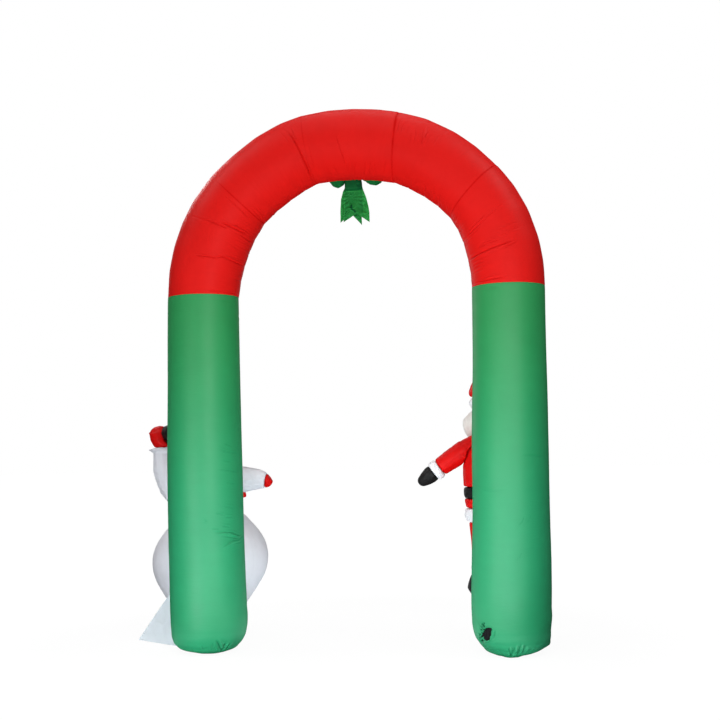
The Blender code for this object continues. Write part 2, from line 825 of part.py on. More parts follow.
for side, way in (("left", 1), ("right", -1)):
    trouser, boot_cuff = chain(
        [
            (
                piece + side,
                [Limb(XMAS_X + way * r.x, r.y, r.z, r.radius) for r in rows],
                look,
            )
            for piece, rows, look in (
                ("xmas_leg_", TROUSER, red),
                ("xmas_boot_cuff_", BOOT_CUFF, white),
            )
        ]
    )
    cut(trouser, xmas_hem)
    rings = [
        ellipse(
            Vector((XMAS_X + way * r.x, r.y, r.z)),
            Vector((1, 0, 0)),
            Vector((0, 1, 0)),
            r.half_width,
            r.half_length,
            LIMB_SIDES,
        )
        for r in BOOT
    ]
    loft("xmas_boot_" + side, rings, black)
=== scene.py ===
"""Looks of the inflatable walk-through arch: the air-filled tubes with their seams, puckers and
creases, the ribbon bow, the air inlet, the snowman and Father Christmas, their cloths, the
camera, the light and the floor. Metres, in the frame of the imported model."""

import json
from collections import namedtuple
from math import atan2, cos, pi, radians, sin, sqrt

import bmesh
import bpy
import numpy as np
from mathutils import Matrix, Vector
from mathutils.bvhtree import BVHTree

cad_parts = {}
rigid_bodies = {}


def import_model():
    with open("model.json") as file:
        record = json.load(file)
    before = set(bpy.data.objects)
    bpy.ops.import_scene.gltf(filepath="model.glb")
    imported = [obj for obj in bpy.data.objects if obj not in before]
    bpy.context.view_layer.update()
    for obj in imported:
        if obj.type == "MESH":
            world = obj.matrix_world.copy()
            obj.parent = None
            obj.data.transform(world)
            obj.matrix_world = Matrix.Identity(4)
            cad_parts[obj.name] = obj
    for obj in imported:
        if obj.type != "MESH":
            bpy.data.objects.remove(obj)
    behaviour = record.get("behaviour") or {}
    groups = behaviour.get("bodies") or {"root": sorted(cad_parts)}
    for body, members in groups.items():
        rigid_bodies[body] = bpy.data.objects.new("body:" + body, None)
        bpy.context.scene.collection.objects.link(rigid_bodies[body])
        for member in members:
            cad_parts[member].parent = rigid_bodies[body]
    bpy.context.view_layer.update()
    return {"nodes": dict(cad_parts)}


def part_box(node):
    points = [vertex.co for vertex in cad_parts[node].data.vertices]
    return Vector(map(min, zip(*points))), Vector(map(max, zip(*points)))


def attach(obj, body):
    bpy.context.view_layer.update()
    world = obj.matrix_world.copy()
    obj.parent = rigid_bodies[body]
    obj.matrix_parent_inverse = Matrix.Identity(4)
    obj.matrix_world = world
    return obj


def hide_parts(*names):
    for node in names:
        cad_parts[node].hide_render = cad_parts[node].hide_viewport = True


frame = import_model()
NODES = frame["nodes"]
BODY = "root"

MIDDLE = np.array([0.1208, -0.2492, 0.0])  # the arch's own middle, on the ground
SPRING_Z = 1.570
GAP = 0.0003
BACK = np.array([0.0, -1.0, 0.0])  # towards the camera


# ------------------------------------------------------------------ camera
CAMERA_AT = (0.7532, -5.0, 0.9156)  # from the arch's own middle
YAW, PITCH, ROLL = 0.1447, 0.0699, -0.0181
FOCUS = 1146.45 / 720  # focal length over the picture's width


def add_camera():
    ahead = Vector((-sin(YAW) * cos(PITCH), cos(YAW) * cos(PITCH), sin(PITCH)))
    right = Vector((cos(YAW), sin(YAW), 0))
    up = right.cross(ahead)
    side = right * cos(ROLL) + up * sin(ROLL)
    top = up * cos(ROLL) - right * sin(ROLL)
    data = bpy.data.cameras.new("camera")
    data.sensor_width = 36
    data.lens = 36 * FOCUS
    camera = bpy.data.objects.new("camera", data)
    bpy.context.scene.collection.objects.link(camera)
    turn = Matrix((side, top, -ahead)).transposed().to_4x4()
    camera.matrix_world = Matrix.Translation(Vector(CAMERA_AT) + Vector(MIDDLE)) @ turn
    bpy.context.scene.camera = camera
    return camera


add_camera()


# ------------------------------------------------------------------ smooth noise
def lattice(ix, iy, iz, seed):
    h = (
        ix.astype(np.uint64) * np.uint64(374761393)
        + iy.astype(np.uint64) * np.uint64(668265263)
        + iz.astype(np.uint64) * np.uint64(2147483629)
        + np.uint64((seed * 1274126177 + 12345) & 0xFFFFFFFF)
    ) & np.uint64(0xFFFFFFFF)
    h = ((h ^ (h >> np.uint64(13))) * np.uint64(1274126177)) & np.uint64(0xFFFFFFFF)
    h = ((h ^ (h >> np.uint64(15))) * np.uint64(2246822519)) & np.uint64(0xFFFFFFFF)
    h = h ^ (h >> np.uint64(16))
    return h.astype(np.float64) / 4294967295.0 * 2 - 1


def noise(points, seed=0):
    """Smooth values from -1 to 1 at points, in cells of one unit."""
    points = np.asarray(points, float).reshape(-1, 3)
    cell = np.floor(points).astype(np.int64)
    f = points - cell
    f = f * f * f * (f * (f * 6 - 15) + 10)
    cell = cell + 100000
    total = np.zeros(len(points))
    for dx in (0, 1):
        wx = f[:, 0] if dx else 1 - f[:, 0]
        for dy in (0, 1):
            wy = f[:, 1] if dy else 1 - f[:, 1]
            for dz in (0, 1):
                wz = f[:, 2] if dz else 1 - f[:, 2]
                total += (
                    wx
                    * wy
                    * wz
                    * lattice(cell[:, 0] + dx, cell[:, 1] + dy, cell[:, 2] + dz, seed)
                )
    return total


def rough(points, seed=0, octaves=3):
    points = np.asarray(points, float).reshape(-1, 3)
    total, weight = np.zeros(len(points)), 0.0
    for k in range(octaves):
        total += noise(points * 2.0**k + 17.3 * k, seed + k) * 0.5**k
        weight += 0.5**k
    return total / weight


def smoothstep(x):
    x = np.clip(x, 0, 1)
    return x * x * (3 - 2 * x)


def turn_gap(a, b):
    """Angle from b to a, from -pi to pi."""
    return (a - b + pi) % (2 * pi) - pi


# ------------------------------------------------------------------ mesh helpers
def new_object(name, verts, faces, shade=None):
    mesh = bpy.data.meshes.new(name)
    mesh.from_pydata(np.asarray(verts).tolist(), [], [list(f) for f in faces])
    mesh.update()
    form = bmesh.new()
    form.from_mesh(mesh)
    if form.calc_volume(signed=True) < 0:
        bmesh.ops.reverse_faces(form, faces=form.faces)
        form.to_mesh(mesh)
    form.free()
    mesh.shade_smooth()
    layer = mesh.attributes.new("shade", "FLOAT", "POINT")
    layer.data.foreach_set(
        "value",
        np.zeros(len(verts), np.float32)
        if shade is None
        else np.asarray(shade, np.float32).ravel(),
    )
    obj = bpy.data.objects.new(name, mesh)
    bpy.context.scene.collection.objects.link(obj)
    return obj


def sharpen(obj, marked):
    """Keeps the skin's shading smooth right up to a rim: marked are the rim's vertices."""
    mesh = obj.data
    ends = np.empty(len(mesh.edges) * 2, np.int32)
    mesh.edges.foreach_get("vertices", ends)
    ends = ends.reshape(-1, 2)
    on_rim = np.zeros(len(mesh.vertices), bool)
    on_rim[marked] = True
    layer = mesh.attributes.new("sharp_edge", "BOOLEAN", "EDGE")
    layer.data.foreach_set("value", on_rim[ends].all(1))


def finish_piece(obj, look, nodes=()):
    obj.data.materials.clear()
    obj.data.materials.append(look)
    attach(obj, BODY)
    if nodes:
        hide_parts(*nodes)
    return obj


def grid_normals(points, middle):
    """Outward normals of a tube's grid, rows along and columns around."""
    along = np.gradient(points, axis=0)
    around = (np.roll(points, -1, axis=1) - np.roll(points, 1, axis=1)) / 2
    normal = np.cross(along, around)
    normal /= np.linalg.norm(normal, axis=2, keepdims=True) + 1e-12
    facing = np.einsum("ijk,ijk->ij", normal, points - middle[:, None, :])
    return normal * np.where(facing < 0, -1, 1)[..., None]


def closed_tube(name, points, middle, shade=None, flange=0.014):
    """A tube's skin, its cloth turned in at both seams and closed by a flat disc inside."""
    n, m, _ = points.shape
    verts = [points.reshape(-1, 3)]
    shades = [np.zeros(n * m) if shade is None else np.asarray(shade).reshape(-1)]
    faces = []
    index = np.arange(n * m).reshape(n, m)
    nxt = np.roll(index, -1, axis=1)
    body = np.stack([index[:-1], nxt[:-1], nxt[1:], index[1:]], -1).reshape(-1, 4)
    faces.extend(body.tolist())
    count = n * m
    for row, order in ((0, 1), (n - 1, -1)):
        ring = points[row]
        centre = middle[row]
        inward = centre - ring
        length = np.linalg.norm(inward, axis=1, keepdims=True)
        inner = ring + inward / length * np.minimum(flange, length * 0.5)
        verts += [inner, centre[None, :]]
        shades.append(np.full(m + 1, 0.5))
        edge = index[row]
        turned = np.arange(count, count + m)
        hub = count + m
        for i in range(m):
            j = (i + 1) % m
            quad = [edge[j], edge[i], turned[i], turned[j]]
            fan = [turned[j], turned[i], hub]
            if order < 0:
                quad.reverse()
                fan.reverse()
            faces += [quad, fan]
        count += m + 1
    obj = new_object(name, np.concatenate(verts), faces, np.concatenate(shades))
    sharpen(obj, np.concatenate([index[0], index[-1]]))
    return obj


def crease(points, normals, height, shade, route, depth, width, lean=0.5, dark=0.5):
    """Presses a crease into height: a trough along route with a soft ridge on its upper side
    (lean above 0) or lower side (lean below 0), and paints shade into the trough. points are flat, (n, 3)."""
    route = np.asarray(route, float)
    low, high = route.min(0) - 6 * width, route.max(0) + 6 * width
    near = np.where(((points > low) & (points < high)).all(1))[0]
    if not len(near):
        return
    p, nrm = points[near], normals[near]
    best = np.full(len(near), 1e9)
    side = np.zeros(len(near))
    share = np.zeros(len(near))
    steps = np.linalg.norm(np.diff(route, axis=0), axis=1)
    total, run = steps.sum(), 0.0
    for a, b, step in zip(route, route[1:], steps):
        ab = b - a
        t = ((p - a) @ ab) / (step * step)
        tc = np.clip(t, 0, 1)
        off = p - (a + tc[:, None] * ab)
        off -= nrm * (off * nrm).sum(1, keepdims=True)
        d = np.linalg.norm(off, axis=1)
        s = np.sign((np.cross(nrm, ab) * off).sum(1))
        closer = d < best
        best[closer], side[closer] = d[closer], s[closer]
        share[closer] = ((run + np.clip(t, 0, 1) * step) / total)[closer]
        # past either end the crease dies away
        run += step
    x = best * side / width
    # the crease tapers towards both ends of its route
    mask = smoothstep(share / 0.22) * smoothstep((1 - share) / 0.22)
    mask = 0.12 + 0.88 * mask
    endwards = np.minimum(
        np.linalg.norm(p - route[0], axis=1), np.linalg.norm(p - route[-1], axis=1)
    )
    mask *= np.where(
        (share <= 1e-6) | (share >= 1 - 1e-6), np.exp(-((endwards / (1.3 * width)) ** 2)), 1
    )
    trough = np.exp(-1.5 * x * x) + 0.20 * np.exp(-((x / 3.0) ** 2))
    ridge = np.exp(-(((x - 1.9) / 1.1) ** 2))
    other = np.exp(-(((x + 1.9) / 1.1) ** 2))
    up, down = max(lean, 0) + 0.25, max(-lean, 0) + 0.25
    height[near] += depth * mask * (-trough + up * ridge + down * other)
    # painted shade: the crease's trough is darkened in colour
    shade[near] = np.maximum(shade[near], dark * mask * np.exp(-3.2 * x * x))


# ------------------------------------------------------------------ the arch's forms
Leg = namedtuple("Leg", "z centre_x radius")
LEFT_LEG = [
    Leg(0.0000, -0.6740, 0.0780),
    Leg(0.0100, -0.6800, 0.1120),
    Leg(0.0300, -0.6830, 0.1370),
    Leg(0.0600, -0.6790, 0.1560),
    Leg(0.1000, -0.6750, 0.1645),
    Leg(0.1600, -0.6740, 0.1690),
    Leg(0.3200, -0.6770, 0.1690),
    Leg(0.5200, -0.6820, 0.1680),
    Leg(0.8200, -0.6855, 0.1670),
    Leg(1.2000, -0.6860, 0.1625),
    Leg(1.4000, -0.6865, 0.1610),
    Leg(1.5700, -0.6860, 0.1590),
]
RIGHT_LEG = [
    Leg(0.0000, 0.6520, 0.0800),
    Leg(0.0100, 0.6590, 0.1150),
    Leg(0.0300, 0.6650, 0.1430),
    Leg(0.0600, 0.6610, 0.1590),
    Leg(0.1000, 0.6570, 0.1650),
    Leg(0.1600, 0.6580, 0.1690),
    Leg(0.3200, 0.6625, 0.1695),
    Leg(0.5200, 0.6670, 0.1665),
    Leg(0.8200, 0.6710, 0.1650),
    Leg(1.2000, 0.6785, 0.1600),
    Leg(1.4000, 0.6805, 0.1590),
    Leg(1.5700, 0.6825, 0.1580),
]
BASE_TOP = 0.0300

# The bend, by angle from the left spring line about the point midway between the two.
Bend = namedtuple("Bend", "angle_deg centre_radius tube_radius tilt_deg")
BENDS = [
    Bend(0.0, 0.6860, 0.1590, 0.0),
    Bend(12.0, 0.6825, 0.1635, 0.0),
    Bend(26.0, 0.6815, 0.1635, 0.5),
    Bend(40.3, 0.6815, 0.1595, 4.0),
    Bend(51.0, 0.6745, 0.1585, 2.5),
    Bend(63.0, 0.6755, 0.1600, 4.5),
    Bend(74.2, 0.6790, 0.1555, 6.5),
    Bend(85.0, 0.6700, 0.1560, 2.0),
    Bend(96.0, 0.6675, 0.1560, -5.0),
    Bend(108.0, 0.6745, 0.1550, -12.0),
    Bend(118.0, 0.6800, 0.1565, -7.5),
    Bend(130.0, 0.6840, 0.1545, -7.5),
    Bend(142.0, 0.6900, 0.1525, -8.0),
    Bend(152.0, 0.6910, 0.1555, -4.0),
    Bend(166.0, 0.6860, 0.1595, 0.0),
    Bend(180.0, 0.6825, 0.1580, 0.0),
]
SEAMS = (0.0, 40.3, 74.2, 108.0, 142.0, 180.0)

# Where the bend folds from one nearly straight stretch into the next.
FOLDS = (0, 8.2, 16.0, 23.5, 31.0, 40.3, 49.3, 58.5, 67.0, 74.2, 83.0, 91.5, 100.5, 108.0)
FOLDS += (116.0, 125.5, 133.5, 142.0, 149.5, 157.0, 166.0, 173.0, 180.0)


def hermite(x, xs, ys):
    """A smooth curve through the points, sampled at x."""
    xs, ys = np.asarray(xs, float), np.asarray(ys, float)
    slope = np.gradient(ys, xs)
    i = np.clip(np.searchsorted(xs, x, side="right") - 1, 0, len(xs) - 2)
    h = xs[i + 1] - xs[i]
    t = (x - xs[i]) / h
    a, b = ys[i], ys[i + 1]
    return (
        a * (1 + 2 * t) * (1 - t) ** 2
        + b * t * t * (3 - 2 * t)
        + slope[i] * h * t * (1 - t) ** 2
        - slope[i + 1] * h * t * t * (1 - t)
    )


def bend_rings(angles):
    """Centre, outward direction and radius of the bent top's section at each angle."""
    table = np.array(BENDS, float)
    knots = np.array(FOLDS, float)
    at = np.radians(knots)
    reach = hermite(knots, table[:, 0], table[:, 1])
    radius = hermite(knots, table[:, 0], table[:, 2])
    tilt = np.radians(np.interp(knots, table[:, 0], table[:, 3]))
    centre = np.stack([-np.cos(at) * reach, 0 * at, SPRING_Z + np.sin(at) * reach], 1)
    out = np.stack([-np.cos(at + tilt), 0 * at, np.sin(at + tilt)], 1)
    offs = np.linspace(-2.0, 2.0, 9) * 0.9  # degrees, softens each fold
    weights = np.exp(-0.5 * np.linspace(-2.0, 2.0, 9) ** 2)
    total_c, total_o, total_r, w = 0, 0, 0, 0
    for off, weight in zip(offs, weights):
        a = angles + off
        a = np.where(a < 0, -a * 0, a)
        a = np.clip(a, 0, 180)
        total_c = total_c + weight * np.stack(
            [np.interp(a, knots, centre[:, k]) for k in range(3)], 1
        )
        total_o = total_o + weight * np.stack(
            [np.interp(a, knots, out[:, k]) for k in range(3)], 1
        )
        total_r = total_r + weight * np.interp(a, knots, radius)
        w += weight
    ends = smoothstep(np.minimum(angles, 180 - angles) / 2.5)[:, None]
    exact_c = np.stack([np.interp(angles, knots, centre[:, k]) for k in range(3)], 1)
    exact_o = np.stack([np.interp(angles, knots, out[:, k]) for k in range(3)], 1)
    exact_r = np.interp(angles, knots, radius)
    c = exact_c * (1 - ends) + total_c / w * ends
    o = exact_o * (1 - ends) + total_o / w * ends
    r = exact_r * (1 - ends[:, 0]) + total_r / w * ends[:, 0]
    return c, o / np.linalg.norm(o, axis=1, keepdims=True), r


def ring_grid(centre, out, radius, turns):
    """Points by (row, turn); turn 0 looks back at the camera and a quarter turn looks out."""
    across = out[:, None, :] * np.sin(turns)[None, :, None]
    across = across + BACK * np.cos(turns)[None, :, None]
    return centre[:, None, :] + across * radius[:, None, None]


def on_bend(angle_deg, turn_deg):
    c, o, r = bend_rings(np.array([float(angle_deg)]))
    return ring_grid(c, o, r, np.array([radians(turn_deg)]))[0, 0]


def leg_row(rows, z):
    table = np.array(rows, float)
    return hermite(z, table[:, 0], table[:, 1]), hermite(z, table[:, 0], table[:, 2])


def on_leg(rows, side, z, turn_deg):
    cx, radius = leg_row(rows, np.array([float(z)]))
    a = radians(turn_deg)
    return np.array([cx[0] + side * radius[0] * sin(a), -radius[0] * cos(a), z])


def puckers(distance, turns, count, seed, reach, height, round_radius, where=None):
    """Short gathers that run away from a seam. distance is from the seam, in metres, by row."""
    rng = np.random.default_rng(seed)
    total = np.zeros((len(distance), len(turns)))
    d = distance[:, None]
    start = 1 - np.exp(-d / 0.003)
    spot = (np.arange(count) + rng.uniform(-0.45, 0.45, count)) * 2 * pi / count
    for k in range(count):
        if where is None:
            strength = 1.0
        else:
            strength = float(where(spot[k]))
        wide = rng.uniform(0.0035, 0.0085) / round_radius
        long = reach * rng.uniform(0.35, 1.6) * (0.6 + 0.4 * strength)
        tall = height * rng.uniform(0.3, 1.0) * strength * rng.choice([-1, -1, 1])
        slant = rng.normal(0, 1.0)
        gap = turn_gap(turns[None, :], spot[k] + slant * d)
        total += tall * np.exp(-((gap / wide) ** 2)) * np.exp(-d / long) * start
    return total


# ------------------------------------------------------------------ creases
# Each crease on the bend: how deep and wide, which way its ridge leans, how dark the shade
# painted into it is, and its route as (angle along the bend, turn around the tube), both in degrees.
Crease = namedtuple("Crease", "depth_mm width_mm lean dark route")
BEND_CREASES = [
    # short crinkles high on the fourth panel
    Crease(1.8, 3.2, 0.6, 0.30, [(117.2, 36), (118.0, 17), (118.6, 2)]),
    Crease(1.8, 3.2, -0.5, 0.25, [(118.5, 44), (118.8, 26), (119.2, 12)]),
    Crease(1.5, 3.2, 0.6, 0.20, [(115.0, 28), (115.6, 15), (115.7, 3)]),
    Crease(1.2, 3.2, 0.5, 0.15, [(114.1, 18), (114.4, 3)]),
    Crease(1.2, 4.0, 0.5, 0.12, [(122.6, 36), (122.6, 14)]),
    # beside the first seam
    Crease(1.5, 3.4, -0.6, 0.47, [(38.6, 4), (38.2, -24), (37.9, -50)]),
    Crease(1.2, 2.8, 0.5, 0.41, [(42.0, -40), (41.6, -62), (41.0, -84)]),
    Crease(1.2, 2.8, 0.5, 0.41, [(43.6, -46), (43.0, -66), (42.4, -84)]),
    # across the first panel
    Crease(2.2, 3.7, 0.7, 0.68, [(27.0, 14), (27.4, 8), (28.0, -18), (28.2, -30)]),
    Crease(2.9, 4.0, 0.8, 0.81, [(29.2, -12), (29.6, -29), (30.0, -45), (30.6, -64)]),
    Crease(1.6, 3.1, 0.5, 0.54, [(31.0, -30), (31.6, -49), (31.7, -72)]),
    Crease(1.6, 3.1, -0.4, 0.54, [(28.7, -46), (28.2, -78), (28.4, -100)]),
    Crease(1.1, 3.1, 0.3, 0.27, [(26.6, 40), (26.9, 22), (27.0, 8)]),
    Crease(1.8, 3.4, 0.6, 0.61, [(14.0, 8), (14.6, -14), (14.9, -34)]),
    Crease(2.2, 3.7, 0.7, 0.68, [(15.1, -20), (16.2, -40), (15.5, -70), (15.4, -90)]),
    Crease(1.0, 2.8, 0.3, 0.27, [(17.6, -40), (18.0, -62), (17.8, -84)]),
    Crease(1.5, 3.1, 0.4, 0.47, [(1.3, -22), (1.1, -36), (1.3, -50)]),
    Crease(1.6, 2.8, 0.4, 0.54, [(0.9, -48), (0.9, -62), (1.1, -78)]),
    # at the second seam
    Crease(4.1, 4.0, 0.5, 1.00, [(68.2, 36), (70.0, 20), (71.8, -10), (73.2, -42), (73.5, -74)]),
    Crease(1.8, 3.1, 0.5, 0.47, [(70.4, 36), (71.2, 18), (72.2, -4)]),
    Crease(1.4, 3.1, -0.4, 0.41, [(66.9, 34), (67.7, 22), (69.2, 6)]),
    Crease(1.2, 2.8, 0.4, 0.27, [(75.6, -6), (75.9, -26), (75.8, -48)]),
    # over the crown
    Crease(1.6, 3.1, 0.6, 0.54, [(86.3, 4), (87.4, -16), (88.4, -34), (89.5, -56)]),
    Crease(1.0, 2.8, 0.4, 0.34, [(91.2, -39), (90.2, -52), (89.0, -66)]),
    Crease(1.0, 2.8, -0.4, 0.34, [(93.4, -43), (92.4, -56), (91.6, -72)]),
    Crease(1.2, 2.8, 0.4, 0.34, [(97.4, -40), (96.4, -58), (95.6, -78)]),
    Crease(0.9, 2.8, -0.3, 0.27, [(99.4, -40), (98.6, -54), (98.0, -70)]),
    Crease(1.1, 2.8, 0.4, 0.34, [(101.2, -40), (100.4, -56), (99.6, -72)]),
    Crease(1.0, 2.8, 0.3, 0.27, [(105.4, -36), (104.8, -50), (104.2, -66)]),
    Crease(0.9, 2.8, 0.3, 0.27, [(80.6, -42), (81.4, -56), (82.4, -72)]),
    Crease(0.9, 2.8, -0.3, 0.27, [(84.0, -46), (84.6, -60), (85.4, -76)]),
    # at the third seam
    Crease(1.8, 3.1, 0.5, 0.47, [(109.6, 40), (109.2, 26), (109.1, 12)]),
    Crease(1.1, 2.8, 0.4, 0.27, [(111.0, 36), (110.6, 24), (110.4, 12)]),
    Crease(1.5, 3.1, 0.5, 0.41, [(119.2, 36), (118.8, 22), (118.3, 6)]),
    Crease(1.1, 2.8, -0.3, 0.27, [(112.7, 30), (112.6, 24), (112.5, 15)]),
    Crease(0.9, 2.8, 0.3, 0.20, [(120.6, 30), (120.2, 20), (119.9, 10)]),
    Crease(1.0, 2.8, 0.3, 0.34, [(124.4, -50), (125.8, -60), (127.6, -74)]),
    Crease(1.0, 2.8, -0.3, 0.34, [(129.0, -46), (130.6, -56), (132.6, -72)]),
    Crease(1.1, 2.8, 0.3, 0.34, [(133.0, -50), (134.6, -62), (136.6, -80)]),
    Crease(1.1, 2.8, 0.3, 0.34, [(136.0, -48), (138.0, -62), (140.4, -82)]),
    # on the last panel
    Crease(1.8, 2.8, 0.5, 0.54, [(153.6, -8), (154.4, -28), (155.4, -56)]),
    Crease(1.8, 2.8, 0.5, 0.54, [(154.8, -8), (155.8, -30), (157.0, -56)]),
    Crease(1.1, 2.8, 0.4, 0.34, [(156.6, -24), (157.6, -42), (158.6, -66)]),
    Crease(1.2, 3.1, 0.4, 0.27, [(153.4, 24), (154.2, 6), (154.8, -12)]),
    Crease(0.9, 3.1, 0.3, 0.20, [(162.4, 38), (162.7, 18), (163.0, -2)]),
    Crease(0.9, 3.1, 0.3, 0.16, [(160.4, 34), (160.8, 16), (161.0, -4)]),
    Crease(3.1, 4.0, 0.8, 0.81, [(165.9, 26), (166.3, 4), (166.6, -22), (167.1, -50), (167.6, -74)]),
    Crease(1.6, 2.8, 0.5, 0.47, [(164.5, -2), (164.0, -20), (164.7, -38)]),
    Crease(1.4, 2.8, 0.5, 0.41, [(163.6, -10), (163.3, -29), (165.0, -46)]),
    Crease(1.5, 2.8, -0.3, 0.41, [(166.4, 26), (167.2, 14), (167.6, 0)]),
    Crease(1.2, 2.8, 0.4, 0.41, [(168.8, -26), (169.2, -42), (169.6, -62)]),
    Crease(1.2, 2.8, 0.4, 0.41, [(170.3, -28), (170.7, -44), (171.2, -64)]),
    Crease(1.1, 2.8, 0.4, 0.34, [(171.8, -32), (172.2, -46), (172.8, -62)]),
    Crease(1.0, 2.8, 0.3, 0.27, [(173.6, -36), (173.9, -48), (174.4, -64)]),
    Crease(2.3, 3.4, 0.6, 0.68, [(178.0, -2), (178.4, -20), (178.6, -38), (178.8, -56)]),
    Crease(1.4, 2.8, 0.4, 0.47, [(176.9, -18), (177.2, -32), (177.8, -46)]),
    # on the front, where the camera does not look
    Crease(2.2, 3.7, 0.6, 0.61, [(22.0, 262), (22.4, 236), (23.0, 208), (22.8, 186)]),
    Crease(1.5, 3.1, 0.5, 0.41, [(24.4, 258), (24.8, 238), (25.2, 216)]),
    Crease(1.9, 3.7, 0.6, 0.54, [(34.6, 258), (34.2, 232), (33.4, 206)]),
    Crease(3.0, 4.0, 0.6, 0.81, [(46.0, 262), (45.6, 230), (44.6, 202), (43.8, 176)]),
    Crease(1.6, 3.1, 0.4, 0.47, [(57.8, 258), (58.4, 236), (59.0, 214)]),
    Crease(1.8, 3.4, 0.5, 0.54, [(81.0, 258), (80.2, 228), (79.4, 204)]),
    Crease(1.5, 3.1, 0.5, 0.41, [(98.6, 254), (98.0, 232), (97.0, 210)]),
    Crease(2.2, 3.7, 0.6, 0.61, [(116.0, 262), (115.0, 232), (113.6, 206), (112.6, 184)]),
    Crease(1.6, 3.4, 0.5, 0.47, [(131.0, 258), (131.8, 232), (132.6, 210)]),
    Crease(2.4, 3.7, 0.6, 0.68, [(150.4, 262), (151.0, 234), (151.8, 206), (151.6, 186)]),
    Crease(1.5, 3.1, 0.4, 0.41, [(153.0, 256), (153.6, 236), (154.2, 218)]),
    Crease(1.9, 3.7, 0.5, 0.54, [(169.0, 260), (168.4, 236), (168.0, 212)]),
]
# Creases on a leg: route as (height in metres, turn around the leg in degrees).
LEFT_LEG_CREASES = [
    # at the knee, where the snowman leans on the leg
    Crease(2.2, 3.5, -0.9, 0.20, [(0.528, -27), (0.529, -43), (0.524, -59), (0.500, -80)]),
    Crease(2.0, 3.4, 0.8, 0.18, [(0.512, -41), (0.504, -57), (0.496, -76), (0.508, -100)]),
    Crease(2.1, 3.4, -0.8, 0.18, [(0.464, -40), (0.476, -49), (0.488, -59), (0.492, -79)]),
    Crease(1.5, 3.1, 0.7, 0.16, [(0.524, -46), (0.512, -55), (0.498, -65)]),
    Crease(1.4, 3.1, -0.8, 0.18, [(0.584, -13), (0.576, -18)]),
    Crease(1.3, 3.1, 0.7, 0.16, [(0.593, -46), (0.592, -60)]),
    Crease(1.4, 3.1, 0.7, 0.14, [(0.476, -65), (0.480, -83)]),
    Crease(1.1, 3.1, -0.7, 0.14, [(0.545, -23), (0.543, -36)]),
    Crease(1.1, 3.1, 0.7, 0.14, [(0.556, -40), (0.550, -54)]),
    Crease(1.1, 3.1, 0.7, 0.11, [(0.610, -30), (0.604, -44)]),
    Crease(1.0, 3.1, 0.5, 0.09, [(0.640, -44), (0.632, -62)]),
    # higher up, at the back of the arm
    Crease(1.0, 3.0, 0.4, 0.25, [(0.800, -36), (0.793, -54), (0.786, -74)]),
    Crease(0.9, 3.0, -0.4, 0.20, [(0.838, -42), (0.832, -60)]),
    Crease(1.0, 3.0, 0.4, 0.25, [(0.884, -38), (0.874, -56), (0.866, -76)]),
    Crease(0.9, 3.0, -0.4, 0.20, [(0.912, -46), (0.898, -62)]),
    Crease(0.9, 3.0, 0.4, 0.20, [(0.742, -48), (0.736, -66)]),
    Crease(1.0, 4.0, 0.4, 0.15, [(1.548, -30), (1.540, -48), (1.542, -72)]),
    # on the front
    Crease(2.0, 5.0, 0.5, 0.3, [(0.430, 200), (0.442, 224), (0.438, 252)]),
    Crease(1.5, 5.0, 0.4, 0.25, [(1.080, 150), (1.092, 176), (1.088, 206)]),
    Crease(1.7, 5.0, 0.5, 0.25, [(1.470, 230), (1.482, 252), (1.478, 280)]),
]
RIGHT_LEG_CREASES = [
    Crease(1.1, 2.8, 0.4, 0.25, [(0.552, 12), (0.566, 18), (0.586, 20)]),
    Crease(1.0, 2.8, -0.3, 0.20, [(0.560, 24), (0.574, 28), (0.590, 30)]),
    Crease(1.0, 2.8, 0.3, 0.20, [(0.410, 8), (0.424, 14), (0.440, 16)]),
    Crease(0.8, 4.0, 0.3, 0.1, [(0.840, 18), (0.838, 36), (0.832, 56)]),
    Crease(0.8, 4.0, 0.3, 0.1, [(0.700, -46), (0.694, -26), (0.696, -6)]),
    Crease(1.0, 4.0, 0.4, 0.12, [(1.552, -10), (1.546, -34), (1.548, -62)]),
    # strokes that run away from the inlet
    Crease(4.8, 5.1, 0.6, 1.40, [(0.125, -41), (0.133, -43), (0.143, -46)]),
    Crease(4.3, 4.7, -0.6, 1.40, [(0.119, -43), (0.124, -46), (0.129, -50)]),
    Crease(4.3, 4.7, 0.6, 1.40, [(0.111, -45), (0.114, -48), (0.117, -51)]),
    Crease(2.4, 4.7, 0.5, 1.40, [(0.139, -41), (0.147, -42)]),
    Crease(6.0, 8.5, -0.5, 1.40, [(0.074, -46), (0.066, -51), (0.060, -56), (0.054, -62)]),
    Crease(4.8, 5.1, 0.5, 1.40, [(0.084, -51), (0.079, -54), (0.073, -58)]),
    Crease(3.6, 4.7, 0.5, 1.40, [(0.095, -51), (0.092, -54), (0.089, -57)]),
    Crease(-2.2, 3.0, 0.0, 0.0, [(0.122, -25), (0.100, -27), (0.078, -31)]),
    Crease(1.8, 3.8, 0.3, 0.35, [(0.118, -23), (0.100, -24), (0.080, -28)]),
    # on the front
    Crease(1.3, 5.0, 0.4, 0.2, [(1.536, 140), (1.528, 168), (1.530, 196)]),
    Crease(1.6, 5.5, 0.5, 0.25, [(0.610, 210), (0.622, 236), (0.616, 262)]),
    Crease(1.3, 5.0, 0.4, 0.2, [(1.190, 160), (1.200, 190), (1.194, 216)]),
]
